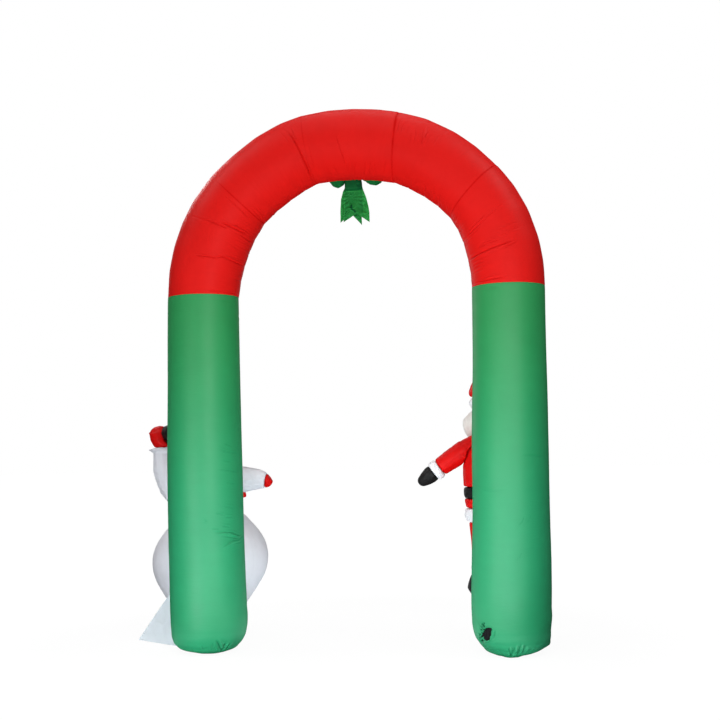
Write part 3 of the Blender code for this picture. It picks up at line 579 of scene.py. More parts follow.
# Strokes at the hem of each foot, over the seam between leg and base.
LEFT_HEM_CREASES = [
    Crease(4.3, 5.0, 0.7, 0.52, [(0.068, -29), (0.040, -36), (0.014, -45)]),
    Crease(3.9, 4.6, -0.7, 0.43, [(0.054, -46), (0.032, -44), (0.014, -46)]),
    Crease(3.3, 4.2, 0.7, 0.33, [(0.052, -56), (0.034, -55), (0.018, -56)]),
    Crease(-2.8, 4.6, 0.0, 0.00, [(0.060, -37), (0.040, -41), (0.018, -51)]),
    Crease(-2.5, 4.4, 0.0, 0.00, [(0.062, -51), (0.036, -50), (0.016, -52)]),
    Crease(2.0, 3.6, 0.5, 0.24, [(0.052, -65), (0.036, -63)]),
    Crease(1.9, 3.6, 0.5, 0.19, [(0.056, -23), (0.032, -26)]),
    Crease(1.9, 3.7, 0.7, 0.16, [(0.026, -8), (0.047, -6)]),
    Crease(2.3, 4.3, 0.7, 0.19, [(0.018, 150), (0.055, 156)]),
    Crease(2.3, 4.3, -0.7, 0.19, [(0.018, 204), (0.061, 200)]),
]
RIGHT_HEM_CREASES = [
    Crease(3.6, 4.6, 0.7, 0.51, [(0.046, -8), (0.028, -6), (0.008, -2)]),
    Crease(2.8, 4.2, 0.7, 0.30, [(0.052, 4), (0.028, -1), (0.012, -2)]),
    Crease(3.2, 4.2, -0.7, 0.38, [(0.058, 13), (0.036, 9), (0.018, 8)]),
    Crease(3.0, 4.2, -0.7, 0.34, [(0.058, 21), (0.040, 17), (0.022, 16)]),
    Crease(-2.5, 4.4, 0.0, 0.00, [(0.056, -2), (0.032, -5), (0.014, -6)]),
    Crease(-2.5, 4.4, 0.0, 0.00, [(0.060, 8), (0.034, 4), (0.016, 3)]),
    Crease(-2.5, 4.4, 0.0, 0.00, [(0.062, 17), (0.040, 13), (0.020, 12)]),
    Crease(-2.1, 4.4, 0.0, 0.00, [(0.056, 26), (0.036, 22), (0.022, 21)]),
    Crease(1.9, 3.8, 0.5, 0.21, [(0.044, 31), (0.030, 26)]),
    Crease(1.8, 3.8, 0.5, 0.21, [(0.034, -17), (0.016, -13)]),
    Crease(1.9, 4.3, 0.7, 0.17, [(0.018, 160), (0.058, 166)]),
    Crease(1.9, 4.3, -0.7, 0.17, [(0.018, 214), (0.061, 208)]),
]


# ------------------------------------------------------------------ materials
def rgb(r, g, b):
    """Linear colour from the display values 0 to 255."""
    def one(v):
        v /= 255
        return v / 12.92 if v <= 0.04045 else ((v + 0.055) / 1.055) ** 2.4
    return (one(r), one(g), one(b), 1.0)


class Graph:
    """Short hand for a material's nodes."""

    def __init__(self, name):
        self.material = bpy.data.materials.new(name)
        self.material.use_nodes = True
        self.tree = self.material.node_tree
        self.tree.nodes.clear()
        self.out = self.add("ShaderNodeOutputMaterial")
        self.shader = self.add("ShaderNodeBsdfPrincipled")
        self.link(self.shader.outputs[0], self.out.inputs[0])
        self.coords = self.add("ShaderNodeTexCoord").outputs["Object"]

    def add(self, kind, **values):
        node = self.tree.nodes.new(kind)
        for key, value in values.items():
            setattr(node, key, value)
        return node

    def link(self, a, b):
        self.tree.links.new(a, b)

    def math(self, operation, a, b=None, c=None, clamp=False):
        node = self.add("ShaderNodeMath", operation=operation, use_clamp=clamp)
        for socket, value in zip(node.inputs, (a, b, c)):
            if value is None:
                continue
            if hasattr(value, "is_linked") or hasattr(value, "links"):
                self.link(value, socket)
            else:
                socket.default_value = value
        return node.outputs[0]

    def scaled(self, vector, scale, turn=(0, 0, 0)):
        node = self.add("ShaderNodeMapping")
        self.link(vector, node.inputs["Vector"])
        node.inputs["Scale"].default_value = scale
        node.inputs["Rotation"].default_value = turn
        return node.outputs[0]

    def noise(self, vector, scale, detail=2.0, distortion=0.0, roughness=0.5):
        node = self.add("ShaderNodeTexNoise")
        self.link(vector, node.inputs["Vector"])
        node.inputs["Scale"].default_value = scale
        node.inputs["Detail"].default_value = detail
        node.inputs["Distortion"].default_value = distortion
        node.inputs["Roughness"].default_value = roughness
        return node.outputs["Fac"]

    def wave(self, vector, scale, direction="X", distortion=0.0):
        node = self.add("ShaderNodeTexWave", bands_direction=direction)
        self.link(vector, node.inputs["Vector"])
        node.inputs["Scale"].default_value = scale
        node.inputs["Distortion"].default_value = distortion
        return node.outputs["Fac"]

    def mix(self, share, a, b, kind="MIX"):
        node = self.add("ShaderNodeMix", data_type="RGBA", blend_type=kind)
        if hasattr(share, "links"):
            self.link(share, node.inputs[0])
        else:
            node.inputs[0].default_value = share
        for socket, value in ((node.inputs[6], a), (node.inputs[7], b)):
            if hasattr(value, "links"):
                self.link(value, socket)
            else:
                socket.default_value = value
        return node.outputs[2]

    def bump(self, height, strength, distance, normal=None):
        node = self.add("ShaderNodeBump")
        node.inputs["Strength"].default_value = strength
        node.inputs["Distance"].default_value = distance
        self.link(height, node.inputs["Height"])
        if normal is not None:
            self.link(normal, node.inputs["Normal"])
        return node.outputs[0]


def along_bend(g):
    """Coordinates that follow the bend: along it, away from its centre, and front to back."""
    moved = g.add("ShaderNodeVectorMath", operation="SUBTRACT")
    g.link(g.coords, moved.inputs[0])
    moved.inputs[1].default_value = (MIDDLE[0], MIDDLE[1], SPRING_Z)
    apart = g.add("ShaderNodeSeparateXYZ")
    g.link(moved.outputs[0], apart.inputs[0])
    x, y, z = apart.outputs
    turn = g.math("ARCTAN2", z, g.math("MULTIPLY", x, -1.0))
    along = g.math("MULTIPLY", turn, 0.69)
    away = g.math("SQRT", g.math("ADD", g.math("MULTIPLY", x, x), g.math("MULTIPLY", z, z)))
    together = g.add("ShaderNodeCombineXYZ")
    for socket, value in zip(together.inputs, (along, away, y)):
        g.link(value, socket)
    return together.outputs[0]


def polyester(
    name,
    colour,
    deep,
    roughness=0.5,
    specular=0.25,
    sheen=0.2,
    sheen_tint=(1, 1, 1, 1),
    flow=None,
    crinkle=0.35,
    crinkle_scale=(70, 70, 70),
    dark=0.4,
    grain=0.05,
    painted_light_by_height=(),
    rim=1.0,
):
    """Thin coated polyester. rim is how much of its shine is left where it turns away. deep is its colour at a seam,
    where the cloth lies double, and the colour of the painted shade in a crease, fold or hollow, both set by the
    shade attribute. flow picks the direction that its fine crinkles run in."""
    g = Graph(name)
    s = g.shader
    flowing = along_bend(g) if flow == "bend" else g.coords
    broad = g.noise(g.coords, 4.5, 2.0)
    patchy = g.noise(g.coords, 23.0, 3.0, 0.4)
    streak = g.noise(g.scaled(flowing, tuple(0.45 * v for v in crinkle_scale)), 1.0, 2.0)
    vary = g.math("ADD", g.math("MULTIPLY", broad, 0.5), g.math("MULTIPLY", patchy, 0.25))
    vary = g.math("ADD", vary, g.math("MULTIPLY", streak, 0.25))
    vary = g.math("MULTIPLY_ADD", g.math("SUBTRACT", vary, 0.5), 1.6, 0.5, clamp=True)
    light = tuple(min(1.0, c * 1.07) for c in colour[:3]) + (1.0,)
    dim = tuple(c * 0.91 for c in colour[:3]) + (1.0,)
    tone = g.mix(vary, dim, light)
    apart = g.add("ShaderNodeSeparateXYZ")
    g.link(g.coords, apart.inputs[0])
    # painted light: each band lightens or darkens the colour by height, standing in for light from the ground low
    # down and less light high up
    for fade in painted_light_by_height:
        reach = g.add("ShaderNodeMapRange")
        reach.interpolation_type = "SMOOTHSTEP"
        reach.inputs["From Min"].default_value = fade[0]
        reach.inputs["From Max"].default_value = fade[1]
        g.link(apart.outputs[2], reach.inputs["Value"])
        tone = g.mix(reach.outputs[0], tone, g.mix(1.0, tone, fade[2], "MULTIPLY"))
    held = g.add("ShaderNodeAttribute", attribute_name="shade").outputs["Fac"]
    # the shade attribute darkens the colour towards deep: a seam's line, and painted shade in creases, folds and
    # hollows
    tone = g.mix(g.math("MULTIPLY", held, dark, clamp=True), tone, deep)
    g.link(tone, s.inputs["Base Color"])
    shine = g.noise(g.coords, 11.0, 2.0)
    g.link(
        g.math("MULTIPLY_ADD", g.math("SUBTRACT", shine, 0.5), 0.16, roughness),
        s.inputs["Roughness"],
    )
    # a seam's stitched line and the painted shade of a crease don't shine, and the shine is taken off the underside
    # of a tube as painted shade
    facing = g.add("ShaderNodeSeparateXYZ")
    g.link(g.add("ShaderNodeNewGeometry").outputs["Normal"], facing.inputs[0])
    lit = g.math("MULTIPLY_ADD", facing.outputs[2], 1.3, 1.0, clamp=True)
    matt = g.math("MULTIPLY_ADD", g.math("MULTIPLY", held, 1.0, clamp=True), -0.9, 1.0)
    if rim < 1.0:
        turned = g.add("ShaderNodeMapRange")
        turned.interpolation_type = "SMOOTHSTEP"
        turned.inputs["From Min"].default_value = 0.55
        turned.inputs["From Max"].default_value = 0.90
        turned.inputs["To Min"].default_value = 1.0
        turned.inputs["To Max"].default_value = rim
        g.link(g.add("ShaderNodeLayerWeight").outputs["Facing"], turned.inputs["Value"])
        matt = g.math("MULTIPLY", matt, turned.outputs[0])
    g.link(
        g.math("MULTIPLY", g.math("MULTIPLY", matt, lit), specular),
        s.inputs["Specular IOR Level"],
    )
    s.inputs["Sheen Weight"].default_value = sheen
    s.inputs["Sheen Roughness"].default_value = 0.4
    s.inputs["Sheen Tint"].default_value = sheen_tint
    # crinkles of a few millimetres, then the weave
    fine = g.noise(g.scaled(flowing, crinkle_scale), 1.0, 3.0, 0.35)
    small = g.noise(g.scaled(flowing, tuple(2.6 * v for v in crinkle_scale)), 1.0, 2.0, 0.2)
    crumple = g.math("ADD", fine, g.math("MULTIPLY", small, 0.4))
    normal = g.bump(crumple, crinkle, 0.0022)
    warp = g.wave(flowing, 340.0, "X")
    weft = g.wave(flowing, 340.0, "Y")
    third = g.wave(flowing, 340.0, "Z")
    weave = g.math("ADD", g.math("ADD", warp, weft), third)
    normal = g.bump(weave, grain, 0.0002, normal)
    g.link(normal, s.inputs["Normal"])
    return g.material


def fleece(name, colour, deep, scale=160.0, strength=0.9, depth=0.004):
    """Short curly pile."""
    g = Graph(name)
    s = g.shader
    cells = g.add("ShaderNodeTexVoronoi", feature="F1")
    bent = g.add("ShaderNodeTexNoise")
    g.link(g.coords, bent.inputs["Vector"])
    bent.inputs["Scale"].default_value = scale * 0.3
    moved = g.add("ShaderNodeVectorMath", operation="MULTIPLY_ADD")
    g.link(bent.outputs["Color"], moved.inputs[0])
    moved.inputs[1].default_value = (0.02, 0.02, 0.02)
    g.link(g.coords, moved.inputs[2])
    g.link(moved.outputs[0], cells.inputs["Vector"])
    cells.inputs["Scale"].default_value = scale
    curl = g.math("SUBTRACT", 1.0, cells.outputs["Distance"])
    hair = g.noise(g.coords, scale * 2.4, 3.0, 1.2)
    height = g.math("ADD", curl, g.math("MULTIPLY", hair, 0.6))
    # painted shade between the curls: darker away from each curl's middle
    tone = g.mix(g.math("MULTIPLY", cells.outputs["Distance"], 0.8, clamp=True), colour, deep)
    held = g.add("ShaderNodeAttribute", attribute_name="shade").outputs["Fac"]
    tone = g.mix(g.math("MULTIPLY", held, 0.5, clamp=True), tone, deep)
    g.link(tone, s.inputs["Base Color"])
    s.inputs["Roughness"].default_value = 0.85
    s.inputs["Specular IOR Level"].default_value = 0.15
    s.inputs["Sheen Weight"].default_value = 0.5
    s.inputs["Sheen Roughness"].default_value = 0.5
    g.link(g.bump(height, strength, depth), s.inputs["Normal"])
    return g.material


def gauze(name, colour):
    """Open black mesh over the inlet."""
    g = Graph(name)
    s = g.shader
    one = g.wave(g.scaled(g.coords, (1, 1, 1), (0, 0, 0.68)), 150.0, "X")
    two = g.wave(g.coords, 150.0, "Z")
    knots = g.math("MAXIMUM", one, two)
    tone = g.mix(knots, tuple(c * 0.35 for c in colour[:3]) + (1,), colour)
    g.link(tone, s.inputs["Base Color"])
    s.inputs["Roughness"].default_value = 0.7
    s.inputs["Specular IOR Level"].default_value = 0.22
    g.link(g.bump(knots, 0.7, 0.0008), s.inputs["Normal"])
    return g.material


RED = polyester(
    "arch_red", (0.560, 0.0076, 0.0060, 1), (0.40, 0.0004, 0.0004, 1), roughness=0.50, specular=0.07, sheen=0.0,
    sheen_tint=(1.0, 0.62, 0.6, 1), flow="bend", crinkle=0.3, crinkle_scale=(95, 16, 16), dark=0.75,
)
# painted light: the green is lighter and bluer at the very bottom and duller high up
GREEN = polyester(
    "leg_green", (0.0120, 0.252, 0.100, 1), (0.0005, 0.024, 0.010, 1), roughness=0.54, specular=0.45, sheen=0.02,
    sheen_tint=(0.8, 1.0, 0.9, 1), crinkle=0.26, crinkle_scale=(16, 16, 85), dark=0.75,
    painted_light_by_height=[(0.45, 1.6, (0.95, 0.86, 0.55, 1)), (0.15, 0.01, (1.9, 1.14, 1.30, 1))], rim=0.12,
)
RIBBON = polyester(
    "ribbon_green", (0.016, 0.245, 0.042, 1), (0.004, 0.066, 0.020, 1), roughness=0.5, specular=0.15,
    sheen=0.0, sheen_tint=(0.7, 1, 0.7, 1), crinkle=0.7, crinkle_scale=(80, 80, 80), dark=1.0,
)
WHITE = polyester(
    "figure_white", (0.79, 0.78, 0.83, 1), (0.44, 0.46, 0.52, 1), roughness=0.55, specular=0.3,
    sheen=0.0, crinkle=0.3, crinkle_scale=(45, 45, 45), dark=0.5,
)
FLAP = polyester(
    "flap_white", (0.735, 0.785, 0.82, 1), (0.46, 0.50, 0.56, 1), roughness=0.5, specular=0.3,
    sheen=0.0, crinkle=0.35, crinkle_scale=(35, 35, 35), dark=0.5,
)
FIGURE_RED = polyester(
    "figure_red", (0.65, 0.0042, 0.0036, 1), (0.28, 0.002, 0.003, 1), roughness=0.5, specular=0.12, sheen=0.0,
    sheen_tint=(1, 0.65, 0.62, 1), crinkle=0.4, crinkle_scale=(60, 60, 60), dark=0.7,
)
BLACK = polyester(
    "figure_black", (0.011, 0.010, 0.010, 1), (0.003, 0.003, 0.003, 1), roughness=0.5, specular=0.13, sheen=0.0,
    crinkle=0.4, crinkle_scale=(60, 60, 60), dark=0.6,
)
ORANGE = polyester(
    "nose_orange", rgb(240, 120, 24), rgb(170, 66, 8), roughness=0.5, specular=0.3, sheen=0.1,
    crinkle=0.4, crinkle_scale=(80, 80, 80), dark=0.6,
)
YELLOW = polyester(
    "buckle_yellow", rgb(240, 190, 50), rgb(160, 110, 16), roughness=0.42, specular=0.4,
    sheen=0.1, crinkle=0.3, crinkle_scale=(80, 80, 80), dark=0.6,
)
SKIN = polyester(
    "figure_skin", rgb(240, 186, 152), rgb(176, 116, 86), roughness=0.55, specular=0.25,
    sheen=0.1, crinkle=0.25, crinkle_scale=(60, 60, 60), dark=0.5,
)
PILE = fleece("white_pile", (0.84, 0.79, 0.74, 1), (0.76, 0.69, 0.64, 1), strength=0.5)
PLUSH = fleece("white_plush", (0.90, 0.87, 0.89, 1), (0.76, 0.74, 0.78, 1), scale=240.0, strength=0.5, depth=0.003)
MESH = gauze("inlet_gauze", rgb(4, 5, 8))


# ------------------------------------------------------------------ the bent top
# How strongly a seam shows, by turn around the tube, and how wide its line is there.
Look = namedtuple("Look", "seam turn_deg drawn wide_mm")
SEAM_LOOKS = [
    Look(1, -180, 0.5, 2.2),
    Look(1, -80, 1.0, 3.0),
    Look(1, -30, 1.0, 2.8),
    Look(1, -2, 0.95, 2.6),
    Look(1, 16, 0.75, 2.2),
    Look(1, 34, 0.30, 1.8),
    Look(1, 52, 0.05, 1.6),
    Look(1, 120, 0.10, 1.8),
    Look(2, -180, 0.5, 2.2),
    Look(2, -80, 0.55, 2.2),
    Look(2, -40, 0.20, 1.6),
    Look(2, -8, 0.30, 1.8),
    Look(2, 8, 0.60, 2.0),
    Look(2, 30, 0.55, 2.0),
    Look(2, 50, 0.15, 1.6),
    Look(2, 120, 0.20, 1.8),
    Look(3, -180, 0.7, 3.8),
    Look(3, -80, 0.75, 3.5),
    Look(3, -34, 0.75, 3.3),
    Look(3, -4, 0.95, 4.6),
    Look(3, 6, 0.80, 3.5),
    Look(3, 26, 1.00, 5.5),
    Look(3, 50, 0.90, 4.6),
    Look(3, 120, 0.70, 3.5),
    Look(4, -180, 0.7, 2.8),
    Look(4, -80, 0.80, 2.8),
    Look(4, 0, 0.80, 2.9),
    Look(4, 50, 0.85, 2.9),
    Look(4, 120, 0.60, 2.8),
]


def seam_look(seam, turns):
    """How much a seam is drawn in, and how wide its line is in metres, at each turn."""
    table = [row for row in SEAM_LOOKS if row.seam == seam]
    if not table:
        return np.full(len(turns), 0.35), np.full(len(turns), 0.0020)
    at_turn = (np.degrees(turns) + 180) % 360 - 180
    knots = [row.turn_deg for row in table] + [180]
    drawn = np.interp(at_turn, knots, [row.drawn for row in table] + [table[0].drawn])
    wide = np.interp(at_turn, knots, [row.wide_mm for row in table] + [table[0].wide_mm])
    return drawn, wide / 1000


def arch_panel(index):
    first, last = SEAMS[index], SEAMS[index + 1]
    rows = int(round((last - first) / 0.235))
    near = np.array([0.04, 0.10])
    angles = np.linspace(first, last, rows)
    angles = np.sort(np.concatenate([angles, first + near, last - near]))
    rows = len(angles)
    columns = 168
    turns = np.arange(columns) * 2 * pi / columns
    c, o, r = bend_rings(angles)
    points = ring_grid(c, o, r, turns)
    normals = grid_normals(points, c)
    flat, fn = points.reshape(-1, 3), normals.reshape(-1, 3)
    height = np.zeros(len(flat))
    shade = np.zeros(len(flat))
    along = np.radians(angles) * 0.68
    # slack cloth between the seams
    height += 0.0012 * noise(flat / 0.21, 3 + index)
    height += 0.0004 * rough(flat / 0.07, 11 + index, 2)
    fold = np.stack(
        [np.repeat(along, columns) / 0.013, np.tile(turns, rows) * 0.155 / 0.09, 0 * height], 1
    )
    height += 0.00012 * noise(fold, 23 + index)
    # the inside of the bend is too long for its path, and takes that up in faint short folds
    rng = np.random.default_rng(70 + index)
    where = along[0] + 0.02
    crumples = np.zeros((rows, columns))
    while where < along[-1] - 0.012:
        wide = rng.uniform(0.0040, 0.0065)
        deep = rng.uniform(0.0002, 0.0008)
        lean = rng.normal(0, 0.014)
        reach = radians(rng.uniform(8, 20))
        spot = radians(rng.uniform(-96, -48))
        span = np.exp(-((turn_gap(turns, spot) / reach) ** 2))[None, :]
        wander = where + lean * turn_gap(turns, -pi / 2)[None, :] + 0.0015 * np.sin(
            turns * rng.integers(3, 7) + rng.uniform(0, 6)
        )
        x = (along[:, None] - wander) / wide
        crumples += deep * span * (-np.exp(-1.4 * x * x) + 0.6 * np.exp(-((x - 1.7) ** 2)))
        where += rng.uniform(0.012, 0.036)
    # each fold line of the bend tucks in on the inside
    tuck = np.exp(-((turn_gap(turns, -pi / 2) / radians(34)) ** 2))[None, :]
    for fold_at in FOLDS:
        if first + 2 < fold_at < last - 2:
            x = (along - radians(fold_at) * 0.68) / 0.006
            crumples -= 0.0009 * np.exp(-x * x)[:, None] * tuck
    height += crumples.ravel()
    # seams: the tube is drawn in, and its cloth gathers there
    for edge, seed in ((0, 1), (rows - 1, 2)):
        distance = np.abs(along - along[edge])
        height += puckers(
            distance,
            turns,
            84,
            400 + 10 * index + seed,
            0.016,
            0.0010,
            0.155,
            where=lambda t: 0.12 + 0.88 * np.exp(-((turn_gap(t, -pi / 2) / radians(46)) ** 2)),
        ).ravel()
    for item in BEND_CREASES:
        if first - 1 <= item.route[0][0] <= last + 1:
            route = []
            for a, b in zip(item.route, item.route[1:]):
                for t in np.linspace(0, 1, 5)[:-1]:
                    route.append(on_bend(a[0] + (b[0] - a[0]) * t, a[1] + (b[1] - a[1]) * t))
            route.append(on_bend(*item.route[-1]))
            crease(
                flat, fn, height, shade, route,
                item.depth_mm / 1000, item.width_mm / 1000, item.lean, item.dark,
            )
    # both panels of a seam meet in the same line
    for edge, seam in ((0, index), (rows - 1, index + 1)):
        distance = np.abs(along - along[edge])
        height *= np.repeat(smoothstep(distance / 0.006), columns)
        drawn, wide = seam_look(seam, turns)
        height += (
            -0.0005 * drawn[None, :] * np.exp(-distance / 0.0030)[:, None]
            - 0.0004 * np.exp(-((distance / 0.020) ** 2))[:, None]
        ).ravel()
        line = drawn[None, :] * np.exp(-((distance[:, None] / wide[None, :]) ** 2))
        shade = np.maximum(shade, line.ravel())
    moved = (flat + fn * height[:, None]).reshape(points.shape) + MIDDLE
    name = f"arch_panel_{index + 1}"
    obj = closed_tube("panel_%d" % (index + 1), moved, c + MIDDLE, shade)
    return finish_piece(obj, RED, [name])


for panel in range(5):
    arch_panel(panel)


# ------------------------------------------------------------------ the legs and their bases
INLET_Z = 0.105
INLET_TURN = 39.0  # degrees from straight back, towards the walkway


# The inlet's opening, uneven because its edge is gathered: how far its edge is from the middle,
# in millimetres, at each direction in degrees from the right.
Edge = namedtuple("Edge", "way_deg reach_mm")
OPENING = [
    Edge(-166, 24.0),
    Edge(-157, 36.0),
    Edge(-149, 38.0),
    Edge(-134, 31.0),
    Edge(-114, 35.0),
    Edge(-94, 36.0),
    Edge(-75, 33.0),
    Edge(-33, 25.0),
    Edge(14, 30.0),
    Edge(34, 40.0),
    Edge(50, 31.0),
    Edge(73, 22.0),
    Edge(111, 18.5),
    Edge(161, 14.0),
    Edge(194, 24.0),
]


# Folds of the gathered edge that stand into the opening (below 0) or pull away from it.
Tooth = namedtuple("Tooth", "way_deg in_mm wide_deg")
TEETH = [
    Tooth(104, -3.0, 9),
    Tooth(122, 4.0, 8),
    Tooth(140, -4.0, 9),
    Tooth(158, 6.0, 8),
    Tooth(177, -5.0, 8),
    Tooth(191, 4.5, 6),
    Tooth(203, -8.0, 5),
    Tooth(212, 7.0, 4),
    Tooth(225, -6.0, 5),
    Tooth(240, 2.0, 6),
    Tooth(-80, -2.0, 7),
    Tooth(-58, 1.5, 8),
]


def opening(way, toothed=False):
    """The opening's reach, in metres, at each direction in radians."""
    table = np.array(OPENING, float)
    at = (np.degrees(way) + 166) % 360 - 166
    reach = np.interp(at, table[:, 0], table[:, 1])
    if toothed:
        for tooth in TEETH:
            gap = np.degrees(turn_gap(way, radians(tooth.way_deg)))
            reach = reach + tooth.in_mm * np.exp(-((gap / tooth.wide_deg) ** 2))
    return reach / 1000


# How much a foot's skin stands out from the round, in millimetres, by turn and height. The
# right foot has a sharp outer corner, and comes in straight from there to the ground.
FOOT_HEIGHTS = (0.0, 0.010, 0.020, 0.030, 0.040, 0.050, 0.065, 0.090, 0.130, 0.200)
Foot = namedtuple("Foot", "turn_deg push_mm")
RIGHT_FOOT = [
    Foot(-180, (0, 0, 0, 0, 0, 0, 0, 0, 0, 0)),
    Foot(-120, (-3, -6, -6, -6, -5, -4, -2, 0, 0, 0)),
    Foot(-90, (-4, -8, -10, -10, -9, -8, -5, -2, 0, 0)),
    Foot(-60, (-4, -9, -12, -12, -10, -8, -4, -1, 0, 0)),
    Foot(-30, (2, -3, -5, -5, -3, -1, 0, 0, 0, 0)),
    Foot(0, (30, 11, 3, 1, 0, 0, 0, 0, 0, 0)),
    Foot(14, (24, 7, 2, 0, 0, 0, 0, 0, 0, 0)),
    Foot(35, (0, -3, -3, -2, 0, 0, 0, 0, 0, 0)),
    Foot(60, (-6, -12, -11, -8, -3, 0, 1, 1, 2, 2)),
    Foot(84, (-4, -14, -13, -7, 1.5, 1.5, 1, 2, 3.5, 4)),
    Foot(98, (-2, -14, -12, -6, 4.5, 3, 2, 2.5, 4, 4)),
    Foot(112, (-2, -10, -9, -5, 2, 2, 1, 1, 2, 2)),
    Foot(140, (0, 0, 0, 0, 0, 0, 0, 0, 0, 0)),
]
LEFT_FOOT = [
    Foot(-180, (0, 0, 0, 0, 0, 0, 0, 0, 0, 0)),
    Foot(-120, (2, 4, 5, 5, 6, 6, 6, 5, 4, 2)),
    Foot(-90, (3, 5, 7, 8, 9, 9, 8, 7, 6, 3)),
    Foot(-60, (3, 4, 6, 7, 7, 7, 6, 5, 4, 2)),
    Foot(-30, (8, 3, 1, 1, 0, 0, 0, 0, 0, 0)),
    Foot(0, (4, 1, 0, 0, 0, 0, 0, 0, 0, 0)),
    Foot(30, (-4, -4, -2, -1, 0, 0, 0, 0, 0, 0)),
    Foot(60, (-4, -4, -2, -1, 0, 0, 0, 0, 0, 0)),
    Foot(90, (0, 0, 0, 0, 0, 0, 0, 0, 0, 0)),
]


def foot_push(side, z, turns):
    """How far a foot's skin stands out from the round, in metres, by row and turn."""
    table = LEFT_FOOT if side < 0 else RIGHT_FOOT
    by_turn = np.array([np.interp(z, FOOT_HEIGHTS, row.push_mm) for row in table])
    by_turn = np.concatenate([by_turn, by_turn[:1]])
    knots = np.array([row.turn_deg for row in table] + [180], float)
    at_turn = (np.degrees(turns) + 180) % 360 - 180
    i = np.clip(np.searchsorted(knots, at_turn, side="right") - 1, 0, len(knots) - 2)
    t = smoothstep((at_turn - knots[i]) / (knots[i + 1] - knots[i]))[:, None]
    fade = 1 - smoothstep((np.asarray(z) - 0.15) / 0.05)
    return (by_turn[i] * (1 - t) + by_turn[i + 1] * t).T * fade[:, None] / 1000


def leg_turns():
    """The turns of a leg's columns, closer together where the inlet and the hem strokes are."""
    parts = [(-62, -20, 54), (-20, 24, 36), (24, 298, 96)]
    turns = [np.linspace(a, b, n, endpoint=False) for a, b, n in parts]
    return np.radians(np.concatenate(turns)) % (2 * pi)


def leg_rows():
    """Heights of a leg's rows, closer together where its cloth is creased."""
    parts = [(0.033, 0.062, 13), (0.062, 0.160, 42), (0.160, 0.430, 32), (0.430, 0.620, 70)]
    parts += [(0.620, 0.960, 84), (0.960, 1.560, 56)]
    rows = [BASE_TOP, BASE_TOP + 0.0005, BASE_TOP + 0.0014]
    for low, high, count in parts:
        rows += list(np.linspace(low, high, count, endpoint=False))
    return np.array(rows + [1.560, 1.565, 1.568, 1.5694, SPRING_Z])


def radial(points, centre):
    way = points - centre[:, None, :]
    way[..., 2] = 0
    return way / (np.linalg.norm(way, axis=2, keepdims=True) + 1e-12)


def hem_gathers(side, distance, turns, seed):
    """Small gathers where a foot is sewn to its leg, in some places more than in others."""
    rng = np.random.default_rng(seed)
    total = np.zeros((len(distance), len(turns)))
    centre = radians(-32) if side < 0 else radians(8)
    for k in range(96):
        spot = (k + rng.uniform(-0.45, 0.45)) * 2 * pi / 96
        share = 0.10 + 0.90 * np.exp(-((turn_gap(spot, centre) / radians(22)) ** 2))
        share = max(share, 0.5 * smoothstep(sin(spot * 3 + seed) * 2 - 0.8))
        wide = rng.uniform(0.0022, 0.0042) / 0.15
        long = rng.uniform(0.006, 0.017)
        tall = rng.uniform(0.0006, 0.0020) * share * rng.choice([-1, -1, 1])
        gap = turn_gap(turns[None, :], spot + rng.normal(0, 1.2) * distance[:, None])
        total += tall * np.exp(-((gap / wide) ** 2)) * np.exp(-((distance[:, None] / long) ** 2))
    return total


def press_leg_creases(creases, rows_table, side, flat, fn, height, shade):
    for item in creases:
        route = []
        for a, b in zip(item.route, item.route[1:]):
            for t in np.linspace(0, 1, 5)[:-1]:
                route.append(
                    on_leg(rows_table, side, a[0] + (b[0] - a[0]) * t, a[1] + (b[1] - a[1]) * t)
                )
        route.append(on_leg(rows_table, side, *item.route[-1]))
        crease(
            flat, fn, height, shade, route,
            item.depth_mm / 1000, item.width_mm / 1000, item.lean, item.dark,
        )


